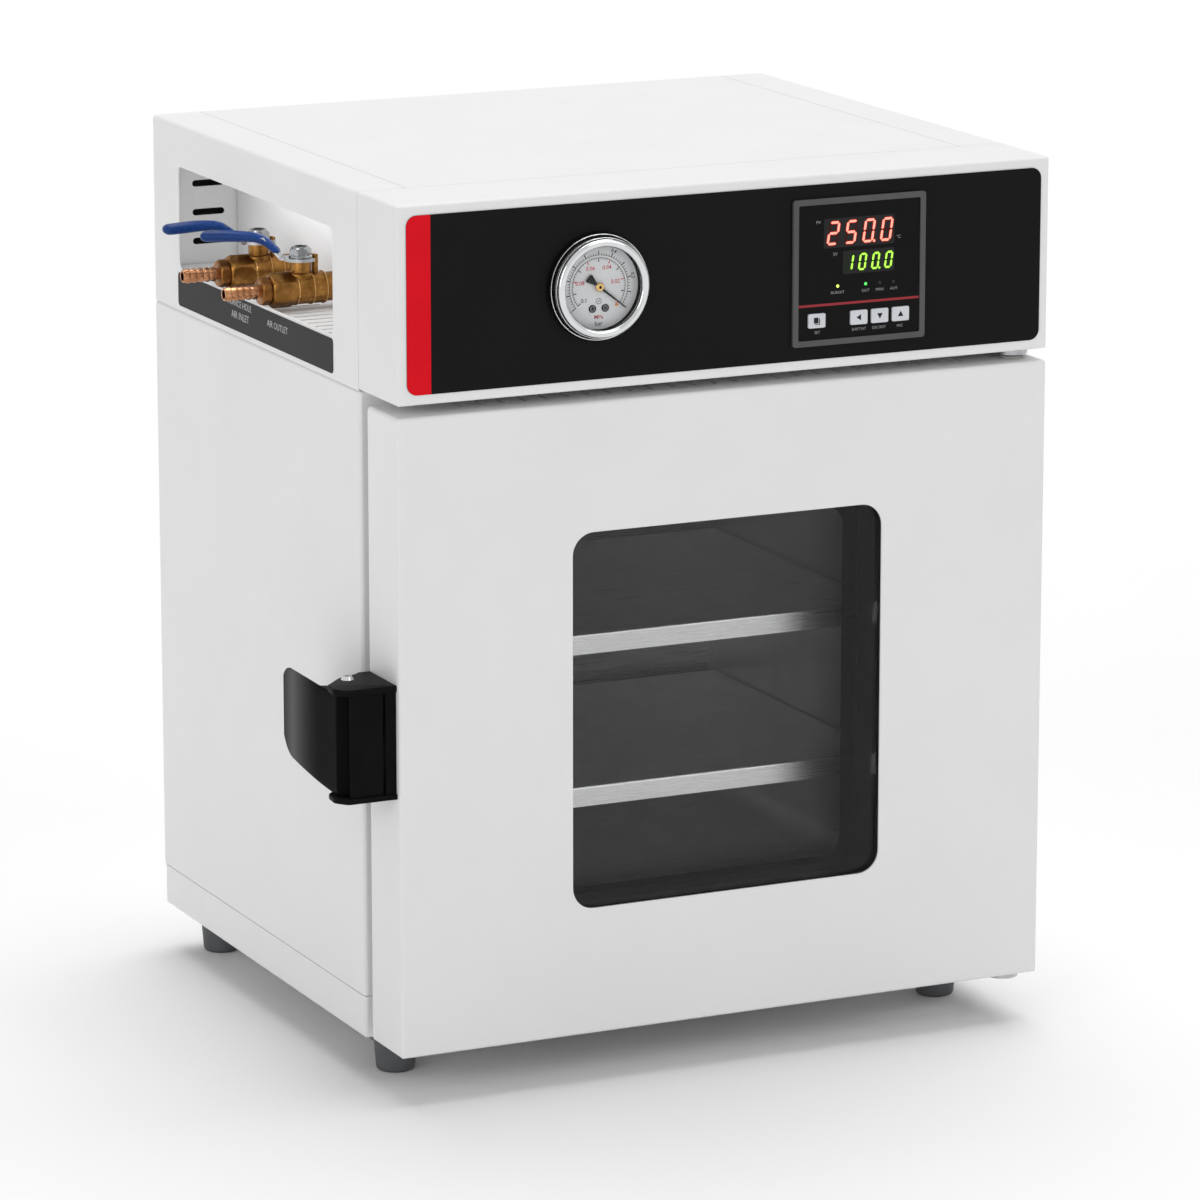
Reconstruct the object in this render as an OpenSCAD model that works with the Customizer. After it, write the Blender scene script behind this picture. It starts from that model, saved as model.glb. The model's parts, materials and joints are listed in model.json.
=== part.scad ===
// Bench-top vacuum drying oven. A lower cabinet holds the vacuum chamber behind a glazed
// door, and a control hood on top holds the vacuum gauge, the temperature controller and
// two ball valves with hose barbs.
// Millimetres, +Z up, the door faces -Y. Every sub-part is drawn from the cabinet's left
// front bottom corner, and placed() puts the origin under the middle of the whole oven.

/* [Cabinet] */
// Width over the side panels
cabinet_w = 466; // [450:1:520]
// Depth from the front face of the door to the back panel
cabinet_d = 417; // [410:1:480]
// Height of the lower cabinet without its feet
body_h = 430; // [425:1:480]
// Height of the control hood
hood_h = 128; // [124:1:150]
// Depth of the hood's front box
hood_front_d = 61; // [55:1:75]
// Thickness of the folded steel sheet
sheet = 1.2; // [0.8:0.1:1.6]
// Outer radius of the folded edges
edge_r = 3; // [2:0.5:4]
// Height of the base pan's walls
base_h = 28.5; // [22:0.5:34]
// Width of the folded flange round the front of the case
flange_w = 20; // [14:1:26]
// Width of the fold that the hood's side panels turn onto its top
top_fold = 34; // [28:1:40]
// Gap at the seams between neighbouring panels
seam = 0.5; // [0.3:0.1:0.8]

/* [Feet] */
// Height of a rubber foot
foot_h = 31; // [26:1:40]
// Diameter of a foot's upper collar
foot_collar_d = 39; // [34:1:44]
// Diameter of a foot's lower part where it meets the collar
foot_stem_d = 29; // [25:1:31]
// Diameter of a foot where it stands
foot_base_d = 26; // [22:1:28]
// Distance from the cabinet's sides to a foot's axis
foot_inset = 32; // [26:1:40]
// Distance from the body's front and back to a foot's axis
foot_set_back = 25; // [23:1:40]

/* [Door] */
// Thickness of the door
door_t = 47; // [44:1:56]
// Gap between the closed door and the body
door_gap = 13; // [11:0.5:16]
// Gap between the door and the hood above it
door_head_gap = 7.5; // [7:0.5:10]
// Gap between the door's lower edge and the level of the body's bottom
door_foot_gap = 2.5; // [2:0.5:4]
// Number of cooling slots in the door's upper face
slot_count = 25; // [15:1:26]
// Distance from one cooling slot to the next
slot_pitch = 15; // [12:0.5:16]
// Width of a cooling slot
slot_w = 2; // [1.5:0.5:3]
// Length of a cooling slot
slot_l = 17; // [12:1:22]

/* [Window] */
// Width of the window's opening
window_w = 223; // [180:1:240]
// Height of the window's opening
window_h = 250; // [200:1:265]
// Corner radius of the window's opening
window_r = 15; // [8:1:25]
// Thickness of the tinted outer pane
outer_glass_t = 4; // [3:0.5:6]
// Thickness of the tempered inner pane that carries the vacuum
inner_glass_t = 12; // [10:1:15]
// How far the outer pane laps behind the door's sheet on each side
glass_lap = 12; // [8:1:16]

/* [Hinge] */
// Distance from the door's right edge to the pivot's axis
hinge_inset = 15; // [12:1:16]
// Distance from the door's front face to the pivot's axis
hinge_y = 22; // [20:1:23]
// Diameter of the hinge pins
pin_d = 8; // [6:0.5:9]
// Thickness of the hinge brackets
bracket_t = 3; // [2:0.5:3.5]

/* [Chamber] */
// Room on each side between the chamber's inside and the cabinet's side
side_room = 83; // [78:1:93]
// Room above and below the chamber's inside, within the body's height
height_room = 65; // [62:1:75]
// Room behind the chamber's inside, up to the back panel
back_room = 82; // [79:1:100]
// Wall of the chamber
chamber_wall = 3; // [2:0.5:4]
// Inner corner radius of the chamber
chamber_r = 18; // [12:1:24]
// Width of the chamber's mouth flange
mouth_flange_w = 26; // [24:1:30]
// Thickness of the chamber's mouth flange
mouth_flange_t = 6; // [5:0.5:7]
// Width of the door seal
seal_w = 10; // [8:1:12]
// Thickness of the insulation round the chamber
wool_t = 38; // [25:1:40]
// Thickness of a heater pad
pad_t = 2; // [1.5:0.5:3]

/* [Shelves] */
// Height of the lower shelf's top above the chamber's floor
shelf_first = 87.5; // [70:0.5:95]
// Distance from one shelf to the next
shelf_pitch = 103; // [85:1:110]
// Height of a shelf's folded lip
shelf_lip = 14; // [10:1:20]
// Thickness of a shelf
shelf_t = 2; // [1.5:0.5:3]
// Distance from the chamber's mouth to a shelf's front
shelf_set_in = 14; // [8:1:25]

/* [Latch] */
// Height of the latch
latch_h = 75; // [65:1:90]
// Furthest reach of the latch's paddle from the cabinet's side
latch_reach = 45; // [43:1:50]
// Thickness of the paddle
paddle_t = 5; // [4:0.5:5.5]
// Distance from the door's front face to the paddle's tip
paddle_end_y = 97; // [90:1:105]
// Radius that the paddle curves with
paddle_curve = 300; // [260:5:400]
// Thickness of the latch's upper and lower plates
latch_plate_t = 2.5; // [2:0.5:3.5]

/* [Valves] */
// Length of a valve lever from its stem to the tip of its grip
lever_reach = 68; // [60:1:72]
// Width of a lever's vinyl grip
grip_w = 11; // [10:0.5:12.5]
// Thickness of a lever's vinyl grip
grip_t = 5; // [4.5:0.5:6]
// Distance from the back panel to the rear valve
valve_set_in = 117; // [111:1:126]
// Height of the valves' axes above the hood's lower edge
valve_z = 37; // [35.5:0.5:42]
// Distance from the cabinet's side to the valves' stems
stem_x = 29; // [29:0.5:30]
// Distance across the flats of a valve's hexagon
valve_af = 21; // [19:0.5:22]
// Distance across the flats of a hose barb's hexagon
barb_af = 17; // [14:0.5:17]
// Outer diameter of a hose barb
barb_d = 10; // [9:0.5:11]
// Length of a hose barb beyond its hexagon
barb_l = 25; // [20:1:30]
// Bore through the barbs, valves and pipes
flow_d = 6; // [5:0.5:7]

/* [Valve recess] */
// Distance from the back panel to the rear end of the opening in the hood's left side
recess_set_in = 43.5; // [36:0.5:48]
// Height of the opening in the hood's left side
recess_h = 70.8; // [66:0.2:76]
// Distance from the cabinet's side to the recess's inner wall
recess_depth = 60; // [55:1:66]

/* [Gauge] */
// Diameter of the gauge's bezel
gauge_d = 68.6; // [66:0.2:72]
// How far the bezel stands out from the hood's face
gauge_proud = 12; // [11:0.5:15]
// Distance from the cabinet's left side to the gauge's axis
gauge_x = 138.5; // [120:0.5:170]
// Height of the gauge's axis above the hood's lower edge
gauge_z = 67; // [62:1:72]

/* [Controller] */
// Side of the controller's square bezel
controller_size = 96; // [94:1:98]
// Distance from the cabinet's left side to the controller's middle
controller_x = 325; // [300:1:350]
// How far the bezel stands out from the hood's face
controller_proud = 2.6; // [2.2:0.1:4]
// Travel of a button
button_travel = 0.8; // [0.5:0.1:1]

/* [Hidden] */
$fn = 64;

// Clearances
fit = 0.3;          // between pieces that are dropped into one another
run = 0.05;         // radial, between a pin and its bore
bite = 0.1;         // overlap that fuses two solids of one piece

// Colours
paint = [0.9, 0.9, 0.9];
steel = [0.72, 0.73, 0.75];
black = [0.1, 0.1, 0.1];
rubber = [0.32, 0.32, 0.33];
brass = [0.62, 0.45, 0.2];
copper = [0.75, 0.48, 0.32];
blue = [0.13, 0.25, 0.6];

// Levels and planes of the cabinet
case_z = foot_h + base_h + seam;
deck_z = foot_h + body_h;
top_z = deck_z + hood_h;
body_y = door_t + door_gap;
hood_y = hood_front_d + seam;
hood_lip_l = 11;    // joggled lip behind the hood's front box
rear_y = cabinet_d - sheet;
rear_flange_w = 14;  // width of the flanges that the back panel is screwed to
screw_hole_r = 2.1;
far = 1000;         // length of a cut that runs right through

// Door and window
door_z0 = foot_h + door_foot_gap;
door_z1 = deck_z - door_head_gap;
mid_z = (door_z0 + door_z1) / 2;
mid_x = cabinet_w / 2;
window_x0 = mid_x - window_w / 2;
window_x1 = mid_x + window_w / 2;
window_z0 = mid_z - window_h / 2;
window_z1 = mid_z + window_h / 2;
slot_y = 20;
liner_y = door_t - sheet;
inner_glass_y = liner_y - inner_glass_t;
frame_lip_t = 2;
tunnel_t = 1.5;
tunnel_flange = 8;

// Hinge
hinge_x = cabinet_w - hinge_inset;
pin_gap = 2.5;      // between a hinge bracket and the door
pin_l = 12;         // length of a pin inside the door
bush_d = pin_d + 4;
bush_l = 15;
block_w = 28;       // hinge block inside the door's corner
bracket_r = 11;
bracket_leg = 26;

// Chamber, centred behind the window
panel_y = body_y + sheet + bite;
mouth_y = panel_y - mouth_flange_t;
chamber_x0 = side_room;
chamber_x1 = cabinet_w - side_room;
chamber_z0 = mid_z - body_h / 2 + height_room;
chamber_z1 = mid_z + body_h / 2 - height_room;
chamber_back = cabinet_d - back_room;
seal_in = 4;        // from the chamber's mouth to the seal
seal_groove = 2.5;
seal_out = seal_in + seal_w;
glass_out = seal_out + 4;       // from the chamber's mouth to the inner pane's edge
port_l = 9;
port_r = 9;
probe_inset = [90, 45];          // from the chamber's right side and top
probe_x = chamber_x1 - probe_inset[0];
probe_z = chamber_z1 - probe_inset[1];
probe_d = 6;
probe_reach = 30;               // into the chamber
probe_tail = 24;                // behind its nut
probe_nut_r = 7;
probe_nut_h = 6;
probe_boss_r = 8;
probe_boss_l = 6;

// Shelves
shelf_gap = 2;      // between a shelf and the chamber's walls
shelf_back_gap = 12;
shelf_y0 = mouth_y + shelf_set_in;
shelf_y1 = chamber_back - shelf_back_gap;
rail_w = 12;
shelf_tops = [chamber_z0 + shelf_first, chamber_z0 + shelf_first + shelf_pitch];

// Valves
valve_axis_z = deck_z + valve_z;
lever_clear = 0.5;  // between a lever's tip and the next valve's grip
valve_pitch = lever_reach + grip_w / 2 + lever_clear;
valve_ys = [cabinet_d - valve_set_in - valve_pitch, cabinet_d - valve_set_in];
lever_rest = [37, 0];           // how far each lever is turned from fully open
body_r = 10.4;
ball_r = 7.5;
boss_r = 6.8;
boss_top = body_r + 8.5;
stem_r = 3;
lever_t = 2;
lever_w = 9;
lever_rise = 12.5;
lever_hub_r = 8;
stop_r = 11.3;
lug_x = lever_hub_r + 0.4;
lug_w = 5;
nut_h = 7.5;
hex_x0 = -23;       // stations along a valve, measured from its stem
hex_x1 = -6;
body_x1 = 17;
barb_hex_l = 7;
pipe_wall = 3;
pipe_r = flow_d / 2 + pipe_wall;
pipe_socket = 4;    // how far a pipe reaches into its valve
pipe_run = 42;      // from the recess's wall to a pipe's upright part
pipe_x = recess_depth + pipe_run;
bend_r = 14;

// Recess opening
recess_frame = 41.5;            // from the hood's front box to the opening
recess_y0 = hood_front_d + recess_frame;
recess_y1 = cabinet_d - recess_set_in;
recess_drop = 8.7;              // from the valves' axes to the opening's lower edge
recess_z0 = valve_axis_z - recess_drop;
recess_z1 = recess_z0 + recess_h;
recess_r = 6;
tray_drop = 5.3;                // from the opening's lower edge to the tray's floor
tray_z = recess_z0 - tray_drop;
tray_y0 = hood_y + 14;
tray_x0 = sheet + fit;
label_gap = 1.8;
label_t = 0.4;
label_foot = 3.6;               // from the hood's lower edge to the label
label_r = 3;

// Gauge and controller
fascia_t = 0.6;
fascia_margin = 6.85;
gauge_axis_z = deck_z + gauge_z;
can_r = gauge_d / 2 - 3.3;
dial_r = can_r - 1.8;
needle_pin_r = 0.8;
gauge_l = 30;
controller_z = deck_z + hood_h / 2;
controller_body = controller_size - 5;
controller_l = 80;
bezel_border = 4;
face_size = controller_size - 2 * bezel_border;
face_t = 1.2;
face_y = -controller_proud + 0.8;
button_w = 12.3;
button_h = 9.3;
button_z = controller_z - controller_size / 2 + 16.6;
button_flange = 1;
// middle of each button from the controller's left edge: set, left, down, up
button_xs = [17.1, 47.7, 62.9, 78.1];

// Latch, on the door's left side
latch_z0 = mid_z - latch_h / 2;
latch_z1 = mid_z + latch_h / 2;
latch_base_t = 9;
latch_y0 = 4.5;
latch_y1 = 48;
pivot = [-22, 32];
pivot_r = 2.5;
pivot_head_r = 4.2;
pivot_head_h = 2.2;
paddle_y0 = 12;
paddle_tangent_y = 20;
keeper_y = body_y + 4;
keeper_d = 24;
keeper_t = 2;
keeper_nose_d = 12;
keeper_x = -12;
keeper_h = 28;

// Power entry on the back panel
entry_x = cabinet_w - 62;
entry_z = deck_z + 64;
entry_w = 31;
entry_h = 66;
entry_t = 2;
entry_body_d = 26;
inlet_drop = 13;    // from the entry's middle to the inlet
rocker_rise = 19;   // from the entry's middle to the rocker's pivot
rocker_tilt = 8;
rocker_r = 9.8;
rocker_flat = 3;    // from the pivot to the middle of the rocker's face
rocker_w = 14;
rocker_y = cabinet_d + entry_t - rocker_flat + 0.8;
rocker_z = entry_z + rocker_rise;
rocker_chord = rocker_flat * cos(rocker_tilt);
rocker_reach = rocker_chord * cos(2 * rocker_tilt)
    + sqrt(rocker_r^2 - rocker_chord^2) * sin(2 * rocker_tilt);

// Relay on its heat sink, on the deck
relay_w = 60;
relay_l = 80;
relay_inset = [140, 197];        // from the cabinet's right side and back
relay_x = cabinet_w - relay_inset[0];
relay_y = cabinet_d - relay_inset[1];
sink_t = 4;
fin_count = 7;
fin_t = 2;
fin_h = 22;
relay_margin = 8;
relay_h = 23;

// Ports through the deck, the insulation and the chamber's top: [x, y, pipe radius]
gauge_port_y = 150;
line_r = 2.5;
ports = [
    [pipe_x, valve_ys[0], pipe_r],
    [pipe_x, valve_ys[1], pipe_r],
    [gauge_x, gauge_port_y, line_r],
];

// ---- Shared forms ----

// Moves the cabinet so that the origin lies under the middle of the whole oven.
module placed() {
    translate([
        -(cabinet_w - latch_reach) / 2,
        -(rocker_y + rocker_reach - gauge_proud) / 2,
        0,
    ]) children();
}

// A rectangle from one corner to the other with true round corners.
module rr(x0, y0, x1, y1, r) {
    translate([x0 + r, y0]) square([x1 - x0 - 2 * r, y1 - y0]);
    translate([x0, y0 + r]) square([x1 - x0, y1 - y0 - 2 * r]);
    for (x = [x0 + r, x1 - r], y = [y0 + r, y1 - r]) translate([x, y]) circle(r);
}

// A rounded rectangle round a middle point.
module rr_mid(x, y, w, h, r) {
    rr(x - w / 2, y - h / 2, x + w / 2, y + h / 2, r);
}

// Extrusions of an outline between two stations on an axis.
module along_x(x0, x1) {
    translate([x0, 0, 0]) rotate([90, 0, 90]) linear_extrude(x1 - x0) children();
}
module along_y(y0, y1) {
    translate([0, y1, 0]) rotate([90, 0, 0]) linear_extrude(y1 - y0) children();
}
module along_z(z0, z1) {
    translate([0, 0, z0]) linear_extrude(z1 - z0) children();
}

// A plain box from one corner to the other.
module box(a, b) {
    translate(a) cube(b - a);
}

// A box whose edges are rounded all round.
module soft_box(a, b, r) {
    intersection() {
        along_y(a[1], b[1]) rr(a[0], a[2], b[0], b[2], r);
        along_x(a[0], b[0]) rr(a[1], a[2], b[1], b[2], r);
        along_z(a[2], b[2]) rr(a[0], a[1], b[0], b[1], r);
    }
}

// A closed sheet-metal box with rounded edges and walls of one thickness.
module folded_box(a, b) {
    inset = [sheet, sheet, sheet];
    difference() {
        soft_box(a, b, edge_r);
        soft_box(a + inset, b - inset, max(edge_r - sheet, 0.3));
    }
}

// A turned piece on an axis along Y at a point, its outline given as [radius, y].
module turned_y(x, z) {
    translate([x, 0, z]) rotate([-90, 0, 0]) rotate_extrude() children();
}

// A round pin or hole along Y between two stations.
module rod_y(x, z, y0, y1, r) {
    translate([x, y0, z]) rotate([-90, 0, 0]) cylinder(y1 - y0, r = r);
}

// The chamber's outline in X and Z, grown by an even amount.
module chamber_outline(grow) {
    rr(chamber_x0 - grow, chamber_z0 - grow, chamber_x1 + grow, chamber_z1 + grow,
        chamber_r + grow);
}

module window_outline(grow) {
    rr(window_x0 - grow, window_z0 - grow, window_x1 + grow, window_z1 + grow,
        window_r + grow);
}

// ---- Lower cabinet ----

module outer_case() placed() color(paint) {
    deep = 20;
    difference() {
        folded_box([0, body_y, case_z - deep], [cabinet_w, cabinet_d + deep, deck_z]);
        box([-1, 0, 0], [cabinet_w + 1, far, case_z]);
        box([-1, cabinet_d, 0], [cabinet_w + 1, far, far]);
        box([sheet, rear_y, 0], [cabinet_w - sheet, far, far]);
        box([flange_w, 0, 0], [cabinet_w - flange_w, body_y + 10, deck_z - flange_w]);
        for (p = ports) translate([p[0], p[1], deck_z - 10]) cylinder(20, r = p[2] + 1);
    }
    // flanges that the back panel is screwed to
    for (side = [0, 1]) translate([side * cabinet_w, 0, 0]) mirror([side, 0, 0])
        rear_flange(case_z, deck_z - bite);
}

// A flange turned in from the left side, with the holes of the back panel's screws.
module rear_flange(z0, z1) {
    along_y(rear_y - sheet, rear_y) difference() {
        translate([sheet - bite, z0]) square([rear_flange_w - sheet + bite, z1 - z0]);
        at_screws() circle(screw_hole_r);
    }
}

module base_pan() placed() color(paint) {
    pan_top = case_z - seam;
    deep = 20;
    lip = sheet + bite;
    difference() {
        folded_box([0, body_y, foot_h], [cabinet_w, cabinet_d, pan_top + deep]);
        box([-1, 0, pan_top], [cabinet_w + 1, far, far]);
        at_feet() translate([0, 0, foot_h - 5]) cylinder(10, r = 3.4);
    }
    // lips that the case's sides slide over
    for (side = [0, 1]) translate([side * cabinet_w, 0, 0]) mirror([side, 0, 0]) {
        box([sheet / 2, body_y + 20, pan_top - 8], [lip + sheet, rear_y - 20, pan_top - bite]);
        box([lip, body_y + 20, pan_top - 8], [lip + sheet, rear_y - 20, pan_top + 12]);
    }
}

// The plate round the chamber's mouth, behind the case's front flanges.
module front_panel() placed() color(paint) {
    edge = edge_r + fit;
    along_y(panel_y, panel_y + sheet) difference() {
        rr(edge, case_z - 12, cabinet_w - edge, deck_z - edge, 2);
        chamber_outline(chamber_wall + fit);
    }
}

// One column of three vent slots, in X and Z.
module vent_column(x) {
    for (i = [0:2]) rr_mid(x, recess_z0 + 10.4 + 20 * i, 23.5, 4.6, 2.2);
}

module rear_panel() placed() color(paint) {
    edge = sheet + fit;
    vents = [39.2, 110, 160, 210];
    along_y(rear_y, cabinet_d) difference() {
        rr(edge, case_z, cabinet_w - edge, top_z - edge, edge_r);
        for (x = vents) vent_column(x);
        rr_mid(entry_x, entry_z, entry_w - 4, entry_h - 6, 1);
        at_screws() circle(screw_hole_r);
    }
}

// Middles of the back panel's screws in X and Z.
module at_screws() {
    inset = 8;
    for (x = [inset, cabinet_w - inset], t = [0:3])
        translate([x, case_z + 14 + t * (top_z - case_z - 34) / 3]) children();
}

module panel_screws() placed() color(steel) {
    translate([0, cabinet_d, 0]) rotate([90, 0, 0]) at_screws() pan_screw(4, 3.6, 2, 1.2);
}

// A pan-head screw that points along +Z, its head's underside at the origin.
module pan_screw(length, head_r, shank_r, head_h) {
    difference() {
        union() {
            cylinder(length, r = shank_r);
            rotate([180, 0, 0]) cylinder(head_h, r1 = head_r, r2 = head_r * 0.72);
        }
        for (turn = [0, 90]) rotate(turn) translate([-head_r * 0.5, -0.4, -head_h - 1])
            cube([head_r, 0.8, 1 + head_h * 0.6]);
    }
}

// ---- Feet ----

module at_feet() {
    for (x = [foot_inset, cabinet_w - foot_inset],
            y = [body_y + foot_set_back, cabinet_d - foot_set_back])
        translate([x, y, 0]) children();
}

module feet() placed() color(rubber) at_feet() {
    collar_h = 9;
    base_round = 3;
    rc = foot_collar_d / 2;
    rs = foot_stem_d / 2;
    rb = foot_base_d / 2;
    difference() {
        rotate_extrude() {
            polygon([[0, 0], [rb - base_round, 0], [rb, base_round], [rs, foot_h - collar_h],
                [rc - 2, foot_h - collar_h], [rc, foot_h - 1.5], [rc, foot_h], [0, foot_h]]);
            translate([rb - base_round, base_round]) circle(base_round);
        }
        translate([0, 0, -1]) cylinder(foot_h + 2, r = 3.3);
        translate([0, 0, -1]) cylinder(11, r = 7);
    }
}

module foot_screws() placed() color(steel) at_feet() translate([0, 0, 10])
    pan_screw(foot_h - 10 + sheet + 6, 6, 3, 4);

// ---- Control hood ----

module hood_front() placed() color(paint) {
    deep = 20;
    gauge_hole_r = can_r + 0.5;
    difference() {
        folded_box([0, 0, deck_z], [cabinet_w, hood_front_d + deep, top_z]);
        box([-1, hood_front_d, 0], [cabinet_w + 1, far, far]);
        rod_y(gauge_x, gauge_axis_z, -1, 10, gauge_hole_r);
        along_y(-1, 10) controller_hole();
    }
    // joggled lip that the side panels and the top lap over
    hood_lip(sheet / 2, hood_front_d);
    hood_lip(sheet + bite, hood_y + hood_lip_l);
}

// A stage of the lip behind the hood's front box, set in from its outside, up to y1.
module hood_lip(inset, y1) {
    inner = 2 * sheet + bite;
    foot = 8;
    intersection() {
        along_y(hood_front_d - 10, y1) difference() {
            rr(inset, deck_z + inset, cabinet_w - inset, top_z - inset, 2);
            rr(inner, deck_z, cabinet_w - inner, top_z - inner, 1);
        }
        box([0, 0, deck_z + foot], [cabinet_w, far, far]);
    }
}

module controller_hole() {
    rr_mid(controller_x, controller_z, controller_body + 0.6, controller_body + 0.6, 1);
}

// A side panel of the hood: the side and its fold onto the top.
module hood_side_profile() {
    inner_r = max(edge_r - sheet, 0.3);
    difference() {
        rr(0, deck_z - 20, top_fold * 2, top_z, edge_r);
        rr(sheet, deck_z - 21, top_fold * 2 + 1, top_z - sheet, inner_r);
        translate([-1, deck_z - 30]) square([far, 30]);
        translate([top_fold, deck_z - 30]) square([far, far]);
    }
}

// The joggled ledge at the end of the fold, under the top.
module hood_ledge_profile() {
    translate([top_fold - 3, top_z - 2 * sheet - bite]) square([15, sheet]);
    translate([top_fold - 3, top_z - 2 * sheet]) square([3, 1.5 * sheet]);
}

module hood_side() {
    along_y(hood_y, cabinet_d) hood_side_profile();
    along_y(hood_y + hood_lip_l + 1, rear_y - fit) hood_ledge_profile();
    rear_flange(deck_z, top_z - sheet + bite);
}

module hood_left_panel() placed() color(paint) difference() {
    hood_side();
    along_x(-1, 10) rr(recess_y0, recess_z0, recess_y1, recess_z1, recess_r);
}

module hood_right_panel() placed() color(paint)
    translate([cabinet_w, 0, 0]) mirror([1, 0, 0]) hood_side();

module hood_top() placed() color(paint)
    box([top_fold + seam, hood_y, top_z - sheet], [cabinet_w - top_fold - seam, cabinet_d, top_z]);

// Floor, inner wall and end wall of the recess that the valves stand in.
module valve_tray() placed() color(paint) {
    y1 = rear_y - sheet - fit;
    wall_top = top_z - 3 * sheet;
    slots = floor((recess_y1 - recess_y0 - 20) / 12);
    difference() {
        union() {
            box([tray_x0, tray_y0, deck_z], [tray_x0 + sheet, y1, tray_z]);
            box([tray_x0, tray_y0, tray_z - sheet], [recess_depth, y1, tray_z]);
            box([recess_depth, tray_y0, deck_z], [recess_depth + sheet, y1, wall_top]);
            box([tray_x0, tray_y0, tray_z - sheet], [recess_depth, tray_y0 + sheet, wall_top]);
        }
        for (i = [0:slots - 1])
            along_z(tray_z - 5, tray_z + 5)
                rr_mid(recess_depth / 2, recess_y0 + 14 + 12 * i, 34, 2.4, 1.1);
        for (y = valve_ys) translate([recess_depth - 10, y, valve_axis_z]) rotate([0, 90, 0])
            cylinder(20, r = pipe_r + fit);
    }
}

module side_label() placed() color([0.29, 0.29, 0.29])
    along_x(-label_t, 0) rr(recess_y0, deck_z + label_foot, recess_y1, recess_z0 - label_gap, label_r);

module fascia() placed() color(black)
    along_y(-fascia_t, 0) difference() {
        m = fascia_margin;
        rr(m, deck_z + m, cabinet_w - m, top_z - m, 7);
        translate([gauge_x, gauge_axis_z]) circle(can_r + 0.5);
        controller_hole();
    }

// ---- Vacuum chamber ----

module chamber() placed() color(steel) {
    w = chamber_wall;
    difference() {
        union() {
            along_y(mouth_y, chamber_back + w) chamber_outline(w);
            along_y(mouth_y, panel_y) chamber_outline(mouth_flange_w);
            for (p = ports) translate([p[0], p[1], chamber_z1]) cylinder(w + port_l, r = port_r);
            rod_y(probe_x, probe_z, chamber_back, chamber_back + w + probe_boss_l, probe_boss_r);
        }
        along_y(mouth_y - 1, chamber_back) chamber_outline(0);
        along_y(mouth_y - 1, mouth_y + seal_groove) seal_ring(seal_in, seal_out);
        for (p = ports) translate([p[0], p[1], chamber_z1 - 5]) cylinder(far, r = flow_d / 2);
        rod_y(probe_x, probe_z, chamber_back - 5, far, probe_d / 2 + run);
    }
}

// The flat ring between two distances from the chamber's mouth.
module seal_ring(inner, outer) {
    difference() {
        chamber_outline(outer);
        chamber_outline(inner);
    }
}

module door_seal() placed() color([0.75, 0.35, 0.25]) {
    foot_y = mouth_y + seal_groove;
    nose_y = liner_y + fit;
    along_y(mouth_y - 3, foot_y) seal_ring(seal_in, seal_out);
    along_y(nose_y, mouth_y - 2) seal_ring(seal_in + 2, seal_out - 2);
}

// Angle rails that carry the shelves on the chamber's side walls.
module shelf_rails() placed() color(steel) {
    y0 = shelf_y0 + shelf_t + 1;
    y1 = shelf_y1 - shelf_t - 1;
    for (z = shelf_tops, side = [0, 1])
        translate([side * cabinet_w, 0, 0]) mirror([side, 0, 0])
            along_y(y0, y1) {
                translate([chamber_x0, z - shelf_t - 2]) square([rail_w, 2]);
                translate([chamber_x0, z - shelf_t - 14]) square([2, 14]);
            }
}

// A shelf with a lip folded down at its front and back.
module shelf(top) {
    x0 = chamber_x0 + shelf_gap;
    x1 = chamber_x1 - shelf_gap;
    along_x(x0, x1) difference() {
        rr(shelf_y0, top - shelf_lip - 20, shelf_y1, top, 2.5);
        translate([shelf_y0 + shelf_t, top - shelf_lip - 21])
            square([shelf_y1 - shelf_y0 - 2 * shelf_t, shelf_lip + 21 - shelf_t]);
        translate([shelf_y0 - 1, top - shelf_lip - 21]) square([far, 21]);
    }
}

module shelf_lower() placed() color([0.78, 0.79, 0.8]) shelf(shelf_tops[0]);
module shelf_upper() placed() color([0.78, 0.79, 0.8]) shelf(shelf_tops[1]);

// Flat heaters on the outside of the chamber's side walls and floor.
module heater_pads() placed() color([0.65, 0.3, 0.15]) {
    inset = 30;
    y0 = panel_y + inset;
    y1 = chamber_back - inset;
    x0 = chamber_x0 - chamber_wall;
    z0 = chamber_z0 - chamber_wall;
    for (side = [0, 1]) translate([side * cabinet_w, 0, 0]) mirror([side, 0, 0])
        along_x(x0 - pad_t, x0) rr(y0, chamber_z0 + inset, y1, chamber_z1 - inset, 6);
    along_z(z0 - pad_t, z0) rr(chamber_x0 + inset, y0, chamber_x1 - inset, y1, 6);
}

module insulation() placed() color([0.85, 0.82, 0.7]) {
    inner = chamber_wall + pad_t;
    outer = inner + wool_t;
    y1 = chamber_back + inner;
    difference() {
        along_y(panel_y + sheet, y1 + wool_t) chamber_outline(outer);
        along_y(panel_y, y1) chamber_outline(inner);
        for (p = ports) translate([p[0], p[1], chamber_z1]) cylinder(far, r = port_r + 1);
        rod_y(probe_x, probe_z, chamber_back, far, probe_boss_r + 2);
    }
}

module temperature_probe() placed() color(steel) {
    nut_y = chamber_back + chamber_wall + probe_boss_l;
    rod_y(probe_x, probe_z, chamber_back - probe_reach, nut_y + probe_nut_h + probe_tail,
        probe_d / 2);
    translate([probe_x, nut_y, probe_z]) rotate([-90, 0, 0])
        cylinder(probe_nut_h, r = probe_nut_r, $fn = 6);
}

// ---- Valves and pipes ----

// Moves a piece drawn round a valve's stem to one of the two valves.
module at_valve(i) {
    translate([stem_x, valve_ys[i], valve_axis_z]) children();
}

// A turned piece on the valve's axis, its outline given as [radius, x].
module turned_x() {
    rotate([0, 90, 0]) rotate_extrude() children();
}

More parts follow.
